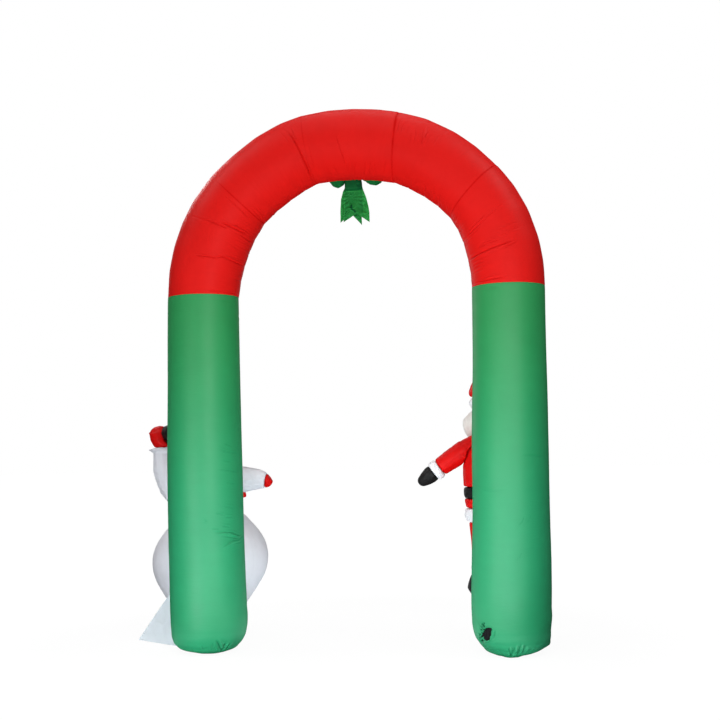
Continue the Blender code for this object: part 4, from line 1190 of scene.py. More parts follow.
def leg_tube(side, rows_table, creases, hem_creases, seed):
    z = leg_rows()
    rows = len(z)
    turns = leg_turns()
    columns = len(turns)
    cx, r = leg_row(rows_table, z)
    c = np.stack([cx, 0 * z, z], 1)
    out = np.tile(np.array([float(side), 0, 0]), (rows, 1))
    points = ring_grid(c, out, r, turns)
    points = points + radial(points, c) * foot_push(side, z, turns)[..., None]
    normals = grid_normals(points, c)
    flat, fn = points.reshape(-1, 3), normals.reshape(-1, 3)
    height = np.zeros(len(flat))
    shade = np.zeros(len(flat))
    height += 0.0014 * noise(flat / np.array([0.25, 0.25, 0.34]), seed)
    height += 0.0004 * rough(flat / np.array([0.08, 0.08, 0.06]), seed + 1, 2)
    fold = np.stack(
        [np.repeat(z, columns) / 0.016, np.tile(turns, rows) * 0.165 / 0.10, 0 * height], 1
    )
    strip = 0.4 + 0.6 * smoothstep(noise(flat / np.array([0.2, 0.2, 0.3]), seed + 7) * 1.5 + 0.5)
    height += 0.00014 * noise(fold, seed + 2) * strip
    # fine slack, uneven and on a slant, most on the left leg's inner side
    inner = np.tile(
        np.exp(-((turn_gap(turns, radians(-58)) / radians(34)) ** 2)), rows
    )
    tall = np.repeat(np.exp(-(((z - (0.84 if side < 0 else 0.5)) / 0.15) ** 2)), columns)
    bent = flat + 0.02 * np.stack([noise(flat / 0.05, seed + k) for k in (11, 12, 13)], 1)
    ripple = noise(bent / np.array([0.040, 0.040, 0.012]), seed + 14)
    ripple += 0.6 * noise(bent / np.array([0.022, 0.022, 0.008]) + 7, seed + 15)
    height += (0.00048 if side < 0 else 0.00020) * ripple * inner * tall
    # nothing but the gathers and the strokes crosses the hem
    height *= np.repeat(smoothstep((z - BASE_TOP) / 0.03), columns)
    distance = z - z[0]
    height += hem_gathers(side, distance, turns, seed + 31).ravel()
    distance = z[-1] - z
    height += puckers(
        distance, turns, 78, seed + 32, 0.014, 0.0008, 0.16,
        where=lambda t: 0.3 + 0.7 * np.exp(-((turn_gap(t, -pi / 2) / radians(50)) ** 2)),
    ).ravel()
    press_leg_creases(creases, rows_table, side, flat, fn, height, shade)
    height *= np.repeat(smoothstep(distance / 0.006), columns)
    height += np.repeat(
        -0.00032 * np.exp(-distance / 0.0030) - 0.0004 * np.exp(-((distance / 0.02) ** 2)), columns
    )
    shade = np.maximum(shade, np.repeat(0.35 * np.exp(-((distance / 0.0020) ** 2)), columns))
    press_leg_creases(hem_creases, rows_table, side, flat, fn, height, shade)
    if side > 0:
        # cloth gathered into the inlet's collar, most of all towards the walkway
        across = np.tile(turns, rows)
        u = turn_gap(across, radians(-INLET_TURN)) * 0.165
        v = flat[:, 2] - INLET_Z
        d = np.hypot(u, v)
        near = (d < 0.13) & (np.abs(u) < 0.12)
        way = np.arctan2(v, u)
        reach = opening(way, toothed=True)
        rng = np.random.default_rng(91)
        gather = np.zeros(len(flat))
        for k in range(23):
            spot = (k + rng.uniform(-0.35, 0.35)) * 2 * pi / 23
            share = 0.08 + 0.92 * np.exp(-((turn_gap(spot, radians(148)) / radians(44)) ** 2))
            share = max(share, 0.9 * np.exp(-((turn_gap(spot, radians(-142)) / radians(26)) ** 2)))
            wide = rng.uniform(0.05, 0.10)
            tall = rng.uniform(0.0016, 0.0042) * share * rng.choice([-1, 1])
            far = rng.uniform(0.006, 0.020) * (0.5 + 0.7 * share)
            gather += (
                tall
                * np.exp(-((turn_gap(way, spot) / wide) ** 2))
                * np.exp(-np.clip(d - reach - 0.002, 0, 1) / far)
            )
        dip = -0.014 * smoothstep((reach + 0.003 - d) / 0.005)
        height[near] += (gather * smoothstep((d - reach + 0.004) / 0.006) + dip)[near]
        # painted shade: the opening's edge towards the walkway and the hollows of the gathers are darkened in colour
        walkway = np.exp(-((turn_gap(way, radians(175)) / radians(75)) ** 2))
        painted_edge_shade = 0.75 * walkway * np.exp(-(((d - reach - 0.004) / 0.004) ** 2))
        painted_shade = painted_edge_shade + np.clip(-gather / 0.0025, 0, 0.85)
        shade[near] = np.maximum(shade, painted_shade)[near]
    moved = (flat + fn * height[:, None]).reshape(points.shape) + MIDDLE
    which = "left" if side < 0 else "right"
    obj = closed_tube("tube_leg_" + which, moved, c + MIDDLE, shade)
    return finish_piece(obj, GREEN, ["leg_" + which])


def base_cap(side, rows_table, hem_creases, seed):
    """The round of cloth under a leg, gathered where it is sewn to the leg."""
    turns = leg_turns()
    columns = len(turns)
    top = BASE_TOP - np.array([0.0, 0.0005, 0.0014])
    z = np.concatenate([top, np.linspace(0.0270, 0.0100, 9), np.linspace(0.0085, 0.0, 7)])
    table = np.array(rows_table, float)
    cx = hermite(z, table[:, 0], table[:, 1])
    r = hermite(z, table[:, 0], table[:, 2])
    c = np.stack([cx, 0 * z, z], 1)
    out = np.tile(np.array([float(side), 0, 0]), (len(z), 1))
    points = ring_grid(c, out, r, turns)
    points = points + radial(points, c) * foot_push(side, z, turns)[..., None]
    normals = grid_normals(points, c)
    flat, fn = points.reshape(-1, 3), normals.reshape(-1, 3)
    distance = BASE_TOP - z
    height = hem_gathers(side, distance, turns, seed).ravel()
    shade = np.zeros(len(flat))
    press_leg_creases(hem_creases, rows_table, side, flat, fn, height, shade)
    height *= np.repeat(smoothstep(z / 0.010), columns)
    moved = (flat + fn * height[:, None]).reshape(points.shape) + MIDDLE
    moved[..., 2] = np.maximum(moved[..., 2], 0.0)
    which = "left" if side < 0 else "right"
    obj = closed_tube("cap_" + which, moved, c + MIDDLE, shade)
    return finish_piece(obj, GREEN, ["base_" + which])


leg_tube(-1, LEFT_LEG, LEFT_LEG_CREASES, LEFT_HEM_CREASES, 500)
leg_tube(1, RIGHT_LEG, RIGHT_LEG_CREASES, RIGHT_HEM_CREASES, 600)
base_cap(-1, LEFT_LEG, LEFT_HEM_CREASES, 531)
base_cap(1, RIGHT_LEG, RIGHT_HEM_CREASES, 631)


# ------------------------------------------------------------------ stuffed pieces on CAD forms
def node_mesh(*names):
    form = bmesh.new()
    for name in names:
        form.from_mesh(NODES[name].data)
    bmesh.ops.remove_doubles(form, verts=form.verts, dist=2e-5)
    return form


def remeshed(names, voxel):
    """The nodes' solids as an even skin of small quads."""
    form = node_mesh(*names)
    mesh = bpy.data.meshes.new("work")
    form.to_mesh(mesh)
    form.free()
    obj = bpy.data.objects.new("work", mesh)
    bpy.context.scene.collection.objects.link(obj)
    change = obj.modifiers.new("even", "REMESH")
    change.mode = "VOXEL"
    change.voxel_size = voxel
    change.adaptivity = 0.0
    graph = bpy.context.evaluated_depsgraph_get()
    done = obj.evaluated_get(graph).to_mesh()
    points = np.empty(len(done.vertices) * 3, np.float32)
    done.vertices.foreach_get("co", points)
    faces = [tuple(p.vertices) for p in done.polygons]
    obj.evaluated_get(graph).to_mesh_clear()
    bpy.data.objects.remove(obj)
    bpy.data.meshes.remove(mesh)
    return points.reshape(-1, 3).astype(float), faces


def links(faces, count):
    """Pairs of joined vertices, each once."""
    pairs = set()
    for f in faces:
        for a, b in zip(f, f[1:] + f[:1]):
            pairs.add((a, b) if a < b else (b, a))
    return np.array(sorted(pairs))


def relax(points, pairs, rounds):
    """Evens the skin out; every second step is outward, so that the form keeps its size."""
    count = len(points)
    degree = np.bincount(pairs.ravel(), minlength=count).astype(float)[:, None]
    for share in (0.5, -0.52) * rounds:
        total = np.zeros_like(points)
        for k in range(3):
            total[:, k] = np.bincount(pairs[:, 0], points[pairs[:, 1], k], count)
            total[:, k] += np.bincount(pairs[:, 1], points[pairs[:, 0], k], count)
        points = points + (total / np.maximum(degree, 1) - points) * share
    return points


def normals_of(points, faces):
    tri = np.array([(f[0], f[1], f[2]) for f in faces] + [(f[0], f[2], f[3]) for f in faces if len(f) == 4])
    n = np.cross(points[tri[:, 1]] - points[tri[:, 0]], points[tri[:, 2]] - points[tri[:, 0]])
    total = np.zeros_like(points)
    for k in range(3):
        for corner in range(3):
            total[:, k] += np.bincount(tri[:, corner], n[:, k], len(points))
    total /= np.linalg.norm(total, axis=1, keepdims=True) + 1e-15
    volume = (points[tri[:, 0]] * n).sum() / 6
    return total if volume > 0 else -total


TREES = {}


def tree(name):
    if name not in TREES:
        form = node_mesh(name)
        TREES[name] = BVHTree.FromBMesh(form)
        form.free()
    return TREES[name]


def seam_distance(points, neighbours, most=0.06):
    """How far each point is from the pieces that this one is sewn to."""
    best = np.full(len(points), most)
    for n in neighbours:
        lo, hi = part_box(n)
        lo, hi = np.array(lo) - most, np.array(hi) + most
        near = np.where(((points > lo) & (points < hi)).all(1))[0]
        t = tree(n)
        for i in near:
            found = t.find_nearest(Vector(points[i]), most)
            if found[3] is not None and found[3] < best[i]:
                best[i] = found[3]
    return best


def stuffed(
    name,
    look,
    sewn=(),
    voxel=0.007,
    rounds=6,
    axis=None,
    gores=0,
    pinch=0.0025,
    pucker=0.0018,
    reach=0.022,
    spacing=0.013,
    crumple=0.0012,
    crumple_size=0.045,
    puff=0.0015,
    lumps=None,
    seed=0,
    flat_below=None,
    warp=None,
    painted_shade=0.0,
    gore=1.0,
    seam_line_and_contact_shade=0.6,
    also=(),
):
    """A stuffed piece: the node's form in a fine skin, softened at its edges, drawn in and
    gathered where it is sewn to its neighbours, crumpled a little elsewhere. axis is (point,
    direction) that its gathers run round; gores is how many seams run from end to end."""
    points, faces = remeshed((name, *also), voxel)
    pairs = links(faces, len(points))
    distance = seam_distance(points, sewn) if sewn else np.full(len(points), 0.06)
    points = relax(points, pairs, rounds)
    if warp is not None:
        points = warp(points)
    normals = normals_of(points, faces)
    # painted shade laid evenly over the whole piece, as on the bow's loops and knot, which sit in shade
    shade = np.full(len(points), painted_shade)
    height = np.full(len(points), puff)
    height += crumple * 0.8 * noise(points / (2.2 * crumple_size), seed + 1)
    # creases in thin broken lines, with painted shade along them, more near a seam
    bent = points + 0.3 * crumple_size * np.stack(
        [noise(points / crumple_size, seed + k) for k in (2, 3, 4)], 1
    )
    line = noise(bent / (0.9 * crumple_size), seed + 5)
    part = smoothstep(noise(points / (1.6 * crumple_size), seed + 6) * 2.0)
    near_seam = np.exp(-distance / 0.05)
    height -= crumple * (0.6 + 1.6 * near_seam) * part * np.exp(-((line / 0.16) ** 2))
    shade += 0.25 * part * np.exp(-((line / 0.10) ** 2)) * (0.3 + near_seam)
    if axis is not None:
        origin, along = np.array(axis[0], float), np.array(axis[1], float)
        along /= np.linalg.norm(along)
        one = np.cross(along, (0, 1, 0) if abs(along[1]) < 0.8 else (1, 0, 0))
        one /= np.linalg.norm(one)
        two = np.cross(along, one)
        rel = points - origin
        a, b = rel @ one, rel @ two
        turn, away = np.arctan2(b, a), np.sqrt(a * a + b * b)
        lean = np.where(rel @ along > 0, 1, 0)
        ring = np.stack([np.cos(turn) * away, np.sin(turn) * away, 40.0 * lean * spacing], 1)
        gathers = noise(ring / (0.62 * spacing), seed + 9)
        gathers = np.sign(gathers) * np.abs(gathers) ** 0.8
        long = reach * (0.7 + 0.9 * (noise(ring / (1.3 * spacing), seed + 12) * 0.5 + 0.5))
        height += pucker * gathers * np.exp(-distance / long) * (1 - np.exp(-distance / 0.003))
        if gores:
            rng = np.random.default_rng(seed + 77)
            start = rng.uniform(0, 2 * pi)
            gap = np.abs(turn_gap((turn - start) * gores, 0.0)) / gores * away
            height -= 0.0030 * gore * np.exp(-gap / 0.006)
            shade = np.maximum(shade, 0.55 * gore * np.exp(-((gap / 0.0035) ** 2)))
            cross_at = (rel @ along) / 0.008
            local = noise(np.stack([cross_at, turn * 3, 0 * turn], 1), seed + 20)
            height += 0.0009 * gore * local * np.exp(-gap / 0.016)
    if lumps is not None:
        size, tall = lumps
        curl = rough(points / size + 0.4 * noise(points / (2 * size), seed + 30)[:, None], seed + 31, 3)
        ridges = 1 - np.abs(curl) * 2.2
        height += tall * (ridges - 0.4)
        # painted shade in the hollows between the lumps
        shade = np.maximum(shade, 0.7 * smoothstep((np.abs(curl) - 0.25) * 3))
    height -= pinch * np.exp(-distance / 0.006)
    # darker where it meets a neighbour: a seam's line where it is sewn, and painted shade where it only presses
    # against one, such as the arch's leg
    shade = np.maximum(shade, seam_line_and_contact_shade * np.exp(-((distance / 0.005) ** 2)))
    # against a neighbour the skin does not swell
    height = np.where(distance < 0.0035, np.minimum(height, -0.0006), height)
    moved = points + normals * height[:, None]
    if flat_below is not None:
        moved[:, 2] = np.maximum(moved[:, 2], flat_below)
    obj = new_object(name + "_soft", moved, faces, shade)
    return finish_piece(obj, look, [name, *also])


def at(x, y, z):
    return (x + MIDDLE[0], y + MIDDLE[1], z)


def ball_form(centre, half):
    """Warps a faceted ball's skin onto the round form that it stands for."""
    centre, half = np.array(at(*centre)), np.array(half)

    def warp(points):
        away = (points - centre) / half
        size = np.linalg.norm(away, axis=1)
        share = smoothstep((size - 0.90) / 0.05) * (size < 1.1)
        return centre + away * (1 + (1 / size - 1) * share)[:, None] * half

    return warp


# ------------------------------------------------------------------ the snowman
SNOW_Y = 0.400
SNOW_BODY = [
    Leg(0.000, -0.780, 0.095),
    Leg(0.012, -0.780, 0.112),
    Leg(0.050, -0.780, 0.135),
    Leg(0.110, -0.785, 0.156),
    Leg(0.170, -0.786, 0.192),
    Leg(0.230, -0.784, 0.231),
    Leg(0.290, -0.780, 0.262),
    Leg(0.350, -0.777, 0.274),
    Leg(0.410, -0.773, 0.267),
    Leg(0.470, -0.769, 0.239),
    Leg(0.530, -0.767, 0.190),
    Leg(0.575, -0.765, 0.141),
    Leg(0.602, -0.765, 0.092),
]


def snow_body_form(points):
    table = np.array(SNOW_BODY, float)
    z = np.clip(points[:, 2], 0, table[-1, 0])
    cx = hermite(z, table[:, 0], table[:, 1]) + MIDDLE[0]
    r = hermite(z, table[:, 0], table[:, 2])
    dx, dy = points[:, 0] - cx, points[:, 1] - (SNOW_Y + MIDDLE[1])
    away = np.hypot(dx, dy)
    share = smoothstep((away / r - 0.86) / 0.08) * (away < 1.1 * r)
    scale = 1 + (r / np.maximum(away, 1e-6) - 1) * share
    return np.stack([cx + dx * scale, points[:, 1] + dy * (scale - 1), points[:, 2]], 1)


def raised_hand(points):
    """The raised arm's cuff lies level where the mitten comes out of it."""
    moved = points.copy()
    x, z = points[:, 0] - MIDDLE[0], points[:, 2]
    near = smoothstep((z - 0.845) / 0.035) * (1 - smoothstep((z - 0.930) / 0.05))
    moved[:, 2] -= 0.45 * (x + 1.004) * near
    return moved


def raised_arm(points):
    moved = raised_hand(points)
    x, z = moved[:, 0] - MIDDLE[0], moved[:, 2]
    outer = smoothstep((-1.000 - x) / 0.04)
    moved[:, 0] -= 0.020 * outer * np.exp(-(((z - 0.898) / 0.013) ** 2))
    moved[:, 2] -= 0.008 * outer * smoothstep((z - 0.86) / 0.03)
    # the arm stays full down to the elbow
    moved[:, 0] -= 0.008 * smoothstep((-0.90 - x) / 0.06) * np.exp(-(((z - 0.735) / 0.075) ** 2))
    return moved


def small_mitten(points):
    """The mitten at the walkway side, flattened into a wedge."""
    moved = points.copy()
    x = -0.490 + (points[:, 0] - MIDDLE[0] + 0.490) * 0.84
    top = 0.757 - 1.5 * (x + 0.478)
    moved[:, 0] = x + MIDDLE[0]
    moved[:, 2] = np.where(points[:, 2] > top, top + 0.15 * (points[:, 2] - top), points[:, 2])
    return moved


stuffed("snow_body", WHITE, ["leg_left", "base_left", "snow_torso"], voxel=0.0076,
        axis=(at(-0.780, 0.400, 0.33), (0, 0, 1)), gores=6, gore=0.2, crumple=0.0010, crumple_size=0.07,
        pucker=0.0016, reach=0.03, seed=1000, flat_below=0.0, warp=snow_body_form, seam_line_and_contact_shade=0.2)
stuffed("snow_torso", WHITE, ["snow_body", "leg_left", "snow_head", "snow_arm_inner", "snow_arm_outer", "snow_scarf"],
        axis=(at(-0.780, 0.345, 0.705), (0, 0, 1)), gores=6, gore=0.2, crumple=0.0011, crumple_size=0.06,
        pucker=0.0022, reach=0.026, seed=1010, seam_line_and_contact_shade=0.3,
        warp=ball_form((-0.780, 0.345, 0.705), (0.172, 0.165, 0.165)))
stuffed("snow_head", WHITE, ["snow_torso", "snow_scarf", "snow_hat_brim", "snow_nose"],
        axis=(at(-0.790, 0.352, 0.885), (0, 0, 1)), gores=6, gore=0.2, crumple=0.001, crumple_size=0.05,
        pucker=0.0018, reach=0.02, seed=1020, seam_line_and_contact_shade=0.3,
        warp=ball_form((-0.790, 0.352, 0.885), (0.136, 0.138, 0.120)))
stuffed("snow_arm_inner", WHITE, ["snow_torso", "snow_mitten_inner", "leg_left"], voxel=0.0047,
        axis=(at(-0.59, 0.35, 0.74), (1, 0, -0.05)), crumple=0.0016, crumple_size=0.035,
        pucker=0.0028, reach=0.024, spacing=0.012, seed=1030, seam_line_and_contact_shade=0.2)
stuffed("snow_arm_outer", WHITE, ["snow_torso", "snow_mitten_outer", "leg_left"], voxel=0.0053,
        axis=(at(-0.96, 0.365, 0.75), (-0.35, 0.05, 1)), crumple=0.0016, crumple_size=0.04,
        pucker=0.0028, reach=0.022, spacing=0.013, seed=1040, seam_line_and_contact_shade=0.25,
        also=("snow_cuff_outer",), warp=raised_arm)
stuffed("snow_mitten_inner", FIGURE_RED, ["snow_arm_inner"], voxel=0.0035,
        axis=(at(-0.47, 0.35, 0.727), (1, 0, -0.3)), crumple=0.001, crumple_size=0.025,
        pucker=0.0016, reach=0.012, spacing=0.009, seed=1060, rounds=4, warp=small_mitten)
stuffed("snow_mitten_outer", FIGURE_RED, ["snow_cuff_outer", "snow_hat_brim"], voxel=0.0047,
        axis=(at(-1.01, 0.383, 0.94), (-0.3, 0, 1)), crumple=0.0014, crumple_size=0.03,
        pucker=0.0022, reach=0.018, spacing=0.011, seed=1070, warp=raised_hand)
stuffed("snow_scarf", FIGURE_RED, ["snow_torso", "snow_head", "snow_scarf_tail"], voxel=0.0059,
        axis=(at(-0.790, 0.349, 0.806), (0, 0, 1)), crumple=0.0022, crumple_size=0.04,
        pucker=0.0024, reach=0.04, spacing=0.02, seed=1080)
stuffed("snow_scarf_tail", FIGURE_RED, ["snow_scarf"], voxel=0.0041,
        axis=(at(-0.68, 0.478, 0.72), (0.38, 0, -1)), crumple=0.0016, crumple_size=0.03,
        pucker=0.002, reach=0.03, spacing=0.012, seed=1090, rounds=3)
stuffed("snow_nose", ORANGE, ["snow_head"], voxel=0.0029,
        axis=(at(-0.795, 0.5, 0.884), (0, 1, -0.05)), crumple=0.0008, crumple_size=0.02,
        pucker=0.0012, reach=0.012, spacing=0.008, seed=1100, rounds=3)
stuffed("snow_hat_brim", BLACK, ["snow_head", "snow_hat_band"],
        axis=(at(-0.811, 0.375, 0.968), (0, 0, 1)), crumple=0.0018, crumple_size=0.05,
        pucker=0.0026, reach=0.035, spacing=0.018, seed=1110)
stuffed("snow_hat_band", FIGURE_RED, ["snow_hat_brim", "snow_hat_crown"], voxel=0.0047,
        axis=(at(-0.811, 0.375, 1.027), (0, 0, 1)), crumple=0.001, crumple_size=0.03,
        pucker=0.0014, reach=0.012, spacing=0.012, seed=1120, rounds=3)
stuffed("snow_hat_crown", BLACK, ["snow_hat_band"], voxel=0.0064,
        axis=(at(-0.811, 0.375, 1.11), (0, 0, 1)), gores=4, crumple=0.0016, crumple_size=0.05,
        pucker=0.0024, reach=0.026, spacing=0.014, seed=1130)

# ------------------------------------------------------------------ Father Christmas
def long_beard(points):
    moved = points.copy()
    drop = np.clip((1.075 - points[:, 2]) / 0.18, 0, 1)
    moved[:, 2] = 0.984 + (points[:, 2] - 0.984) * 1.18 - 0.012 * drop
    # narrow under the cheeks, full at the bottom
    slim = 1 - 0.15 * (1 - smoothstep(drop / 0.45)) + 0.04 * drop
    moved[:, 0] = 0.635 + MIDDLE[0] + (points[:, 0] - 0.635 - MIDDLE[0]) * slim
    return moved


def full_hat(points):
    """The hat bulges over its trim on the walkway side."""
    moved = points.copy()
    x, z = points[:, 0] - MIDDLE[0], points[:, 2]
    bulge = np.exp(-(((z - 1.135) / 0.035) ** 2)) * smoothstep((0.62 - x) / 0.06)
    moved[:, 0] -= 0.016 * bulge
    return moved


def boot_form(points):
    moved = points.copy()
    z = points[:, 2]
    moved[:, 0] -= 0.007 * smoothstep((z - 0.205) / 0.03)
    moved[:, 2] += 0.008 * smoothstep((z - 0.23) / 0.05)
    return moved


stuffed("xmas_coat", FIGURE_RED, ["xmas_belt", "leg_right", "xmas_sleeve_inner", "xmas_sleeve_outer", "xmas_head", "xmas_beard"],
        axis=(at(0.635, 0.305, 0.80), (0, 0, 1)), crumple=0.0018, crumple_size=0.055,
        pucker=0.0032, reach=0.034, spacing=0.015, seed=1200)
stuffed("xmas_belt", BLACK, ["xmas_coat", "xmas_skirt", "leg_right"], voxel=0.0059,
        axis=(at(0.635, 0.305, 0.67), (0, 0, 1)), crumple=0.001, crumple_size=0.04,
        pucker=0.0016, reach=0.014, spacing=0.014, seed=1210, rounds=3)
stuffed("xmas_skirt", FIGURE_RED, ["xmas_belt", "xmas_hem", "leg_right"], voxel=0.0059,
        axis=(at(0.635, 0.305, 0.62), (0, 0, 1)), crumple=0.0014, crumple_size=0.04,
        pucker=0.0030, reach=0.03, spacing=0.014, seed=1220, rounds=3)
stuffed("xmas_hem", PLUSH, ["xmas_skirt", "xmas_leg_left", "xmas_leg_right", "leg_right"], voxel=0.0059,
        axis=(at(0.635, 0.305, 0.57), (0, 0, 1)), lumps=(0.016, 0.0020), crumple=0.0008,
        pucker=0.002, reach=0.02, seed=1230)
stuffed("xmas_buckle", YELLOW, [], voxel=0.0023, crumple=0.0003, crumple_size=0.02,
        puff=0.0004, seed=1240, rounds=2)
stuffed("xmas_head", SKIN, ["xmas_coat", "xmas_beard", "xmas_hat", "xmas_hat_trim", "xmas_nose"],
        voxel=0.0059, axis=(at(0.635, 0.325, 1.03), (0, 0, 1)), crumple=0.0007, crumple_size=0.05,
        pucker=0.001, reach=0.014, seed=1250, warp=ball_form((0.635, 0.325, 1.030), (0.118, 0.118, 0.125)))
stuffed("xmas_beard", PILE, ["xmas_head", "xmas_coat"], voxel=0.0059,
        axis=(at(0.635, 0.375, 0.986), (0, 0, 1)), lumps=(0.030, 0.0032), crumple=0.0008,
        pucker=0.001, reach=0.016, seed=1260, warp=long_beard)
stuffed("xmas_nose", SKIN, ["xmas_head"], voxel=0.0023, crumple=0.0003,
        crumple_size=0.02, puff=0.0003, seed=1270, rounds=2)
stuffed("xmas_hat", FIGURE_RED, ["xmas_hat_trim", "xmas_head", "xmas_pompom"], voxel=0.0064,
        axis=(at(0.66, 0.328, 1.2), (0.25, 0, 1)), crumple=0.0024, crumple_size=0.05,
        pucker=0.003, reach=0.034, spacing=0.015, seed=1280, warp=full_hat)
stuffed("xmas_hat_trim", PLUSH, ["xmas_hat", "xmas_head", "xmas_beard"], voxel=0.0059,
        axis=(at(0.635, 0.325, 1.078), (0, 0, 1)), lumps=(0.015, 0.0024), crumple=0.0006,
        pucker=0.001, seed=1290)
stuffed("xmas_pompom", PLUSH, ["xmas_hat"], voxel=0.0035, lumps=(0.012, 0.0022),
        crumple=0.0004, pucker=0.0005, seed=1300, rounds=2)
for hand, where, way, mitt, mitt_way in (
    ("inner", (0.42, 0.3, 0.84), (-1, 0, -0.35), (0.28, 0.3, 0.735), (-0.8, 0, -0.6)),
    ("outer", (0.77, 0.35, 0.82), (0.15, 0.5, -1), (0.70, 0.48, 0.71), (-1, 0.2, -0.25)),
):
    base = 1310 if hand == "inner" else 1340
    stuffed("xmas_sleeve_" + hand, FIGURE_RED, ["xmas_coat", "xmas_cuff_" + hand, "leg_right"],
            voxel=0.0053, axis=(at(*where), way), crumple=0.0020, crumple_size=0.038,
            pucker=0.0030, reach=0.028, spacing=0.012, seed=base)
    stuffed("xmas_cuff_" + hand, PLUSH, ["xmas_sleeve_" + hand, "xmas_mitten_" + hand],
            voxel=0.0041, axis=(at(*where), way), lumps=(0.014, 0.0009), crumple=0.0005,
            pucker=0.0012, reach=0.012, seed=base + 10, rounds=4)
    stuffed("xmas_mitten_" + hand, BLACK, ["xmas_cuff_" + hand], voxel=0.0041,
            axis=(at(*mitt), mitt_way), crumple=0.0014, crumple_size=0.028,
            pucker=0.0022, reach=0.018, spacing=0.010, seed=base + 20, rounds=4)
for k, hand in enumerate(("left", "right")):
    x = 0.635 + (-0.09 if hand == "left" else 0.09)
    base = 1400 + 50 * k
    stuffed("xmas_leg_" + hand, FIGURE_RED, ["xmas_hem", "xmas_boot_cuff_" + hand, "leg_right"],
            voxel=0.0053, axis=(at(x, 0.3, 0.44), (0, 0, 1)), crumple=0.0020, crumple_size=0.04,
            pucker=0.0030, reach=0.03, spacing=0.013, seed=base)
    stuffed("xmas_boot_cuff_" + hand, PLUSH, ["xmas_leg_" + hand, "xmas_boot_" + hand],
            voxel=0.0053, axis=(at(x, 0.3, 0.32), (0, 0, 1)), lumps=(0.014, 0.0018), crumple=0.0005,
            pucker=0.001, reach=0.014, seed=base + 10, rounds=4)
    stuffed("xmas_boot_" + hand, BLACK, ["xmas_boot_cuff_" + hand], voxel=0.0059,
            axis=(at(x, 0.34, 0.25), (0, 0, 1)), crumple=0.0016, crumple_size=0.045,
            pucker=0.0024, reach=0.024, spacing=0.013, seed=base + 20, warp=boot_form)

# ------------------------------------------------------------------ the bow and the inlet
def drooping_loop(points):
    """The loop's lower edge hangs a little away from the knot."""
    moved = points.copy()
    x, z = points[:, 0] - MIDDLE[0], points[:, 2]
    moved[:, 0] += 0.014 * smoothstep((2.118 - z) / 0.015) * (1 - smoothstep((x - 0.03) / 0.10))
    moved[:, 0] += 0.004 * smoothstep((2.118 - z) / 0.015)
    return moved


# painted shade: the loops and the knot are darkened all over
stuffed("bow_loop_left", RIBBON, ["bow_knot"], voxel=0.0026,
        axis=(at(-0.088, 0.165, 2.13), (1, 0, 0)), crumple=0.0014, crumple_size=0.022,
        pucker=0.0026, reach=0.022, spacing=0.010, seed=1500, rounds=5, painted_shade=0.76)
stuffed("bow_loop_right", RIBBON, ["bow_knot"], voxel=0.0026,
        axis=(at(0.08, 0.165, 2.135), (1, 0, 0)), crumple=0.0014, crumple_size=0.022,
        pucker=0.0026, reach=0.022, spacing=0.010, seed=1510, rounds=5, painted_shade=0.76, warp=drooping_loop)
stuffed("bow_knot", RIBBON, ["bow_loop_left", "bow_loop_right"], voxel=0.0026,
        axis=(at(-0.015, 0.165, 2.113), (0, 0, 1)), crumple=0.0014, crumple_size=0.022,
        pucker=0.0014, reach=0.02, spacing=0.012, seed=1520, rounds=3, painted_shade=0.9)


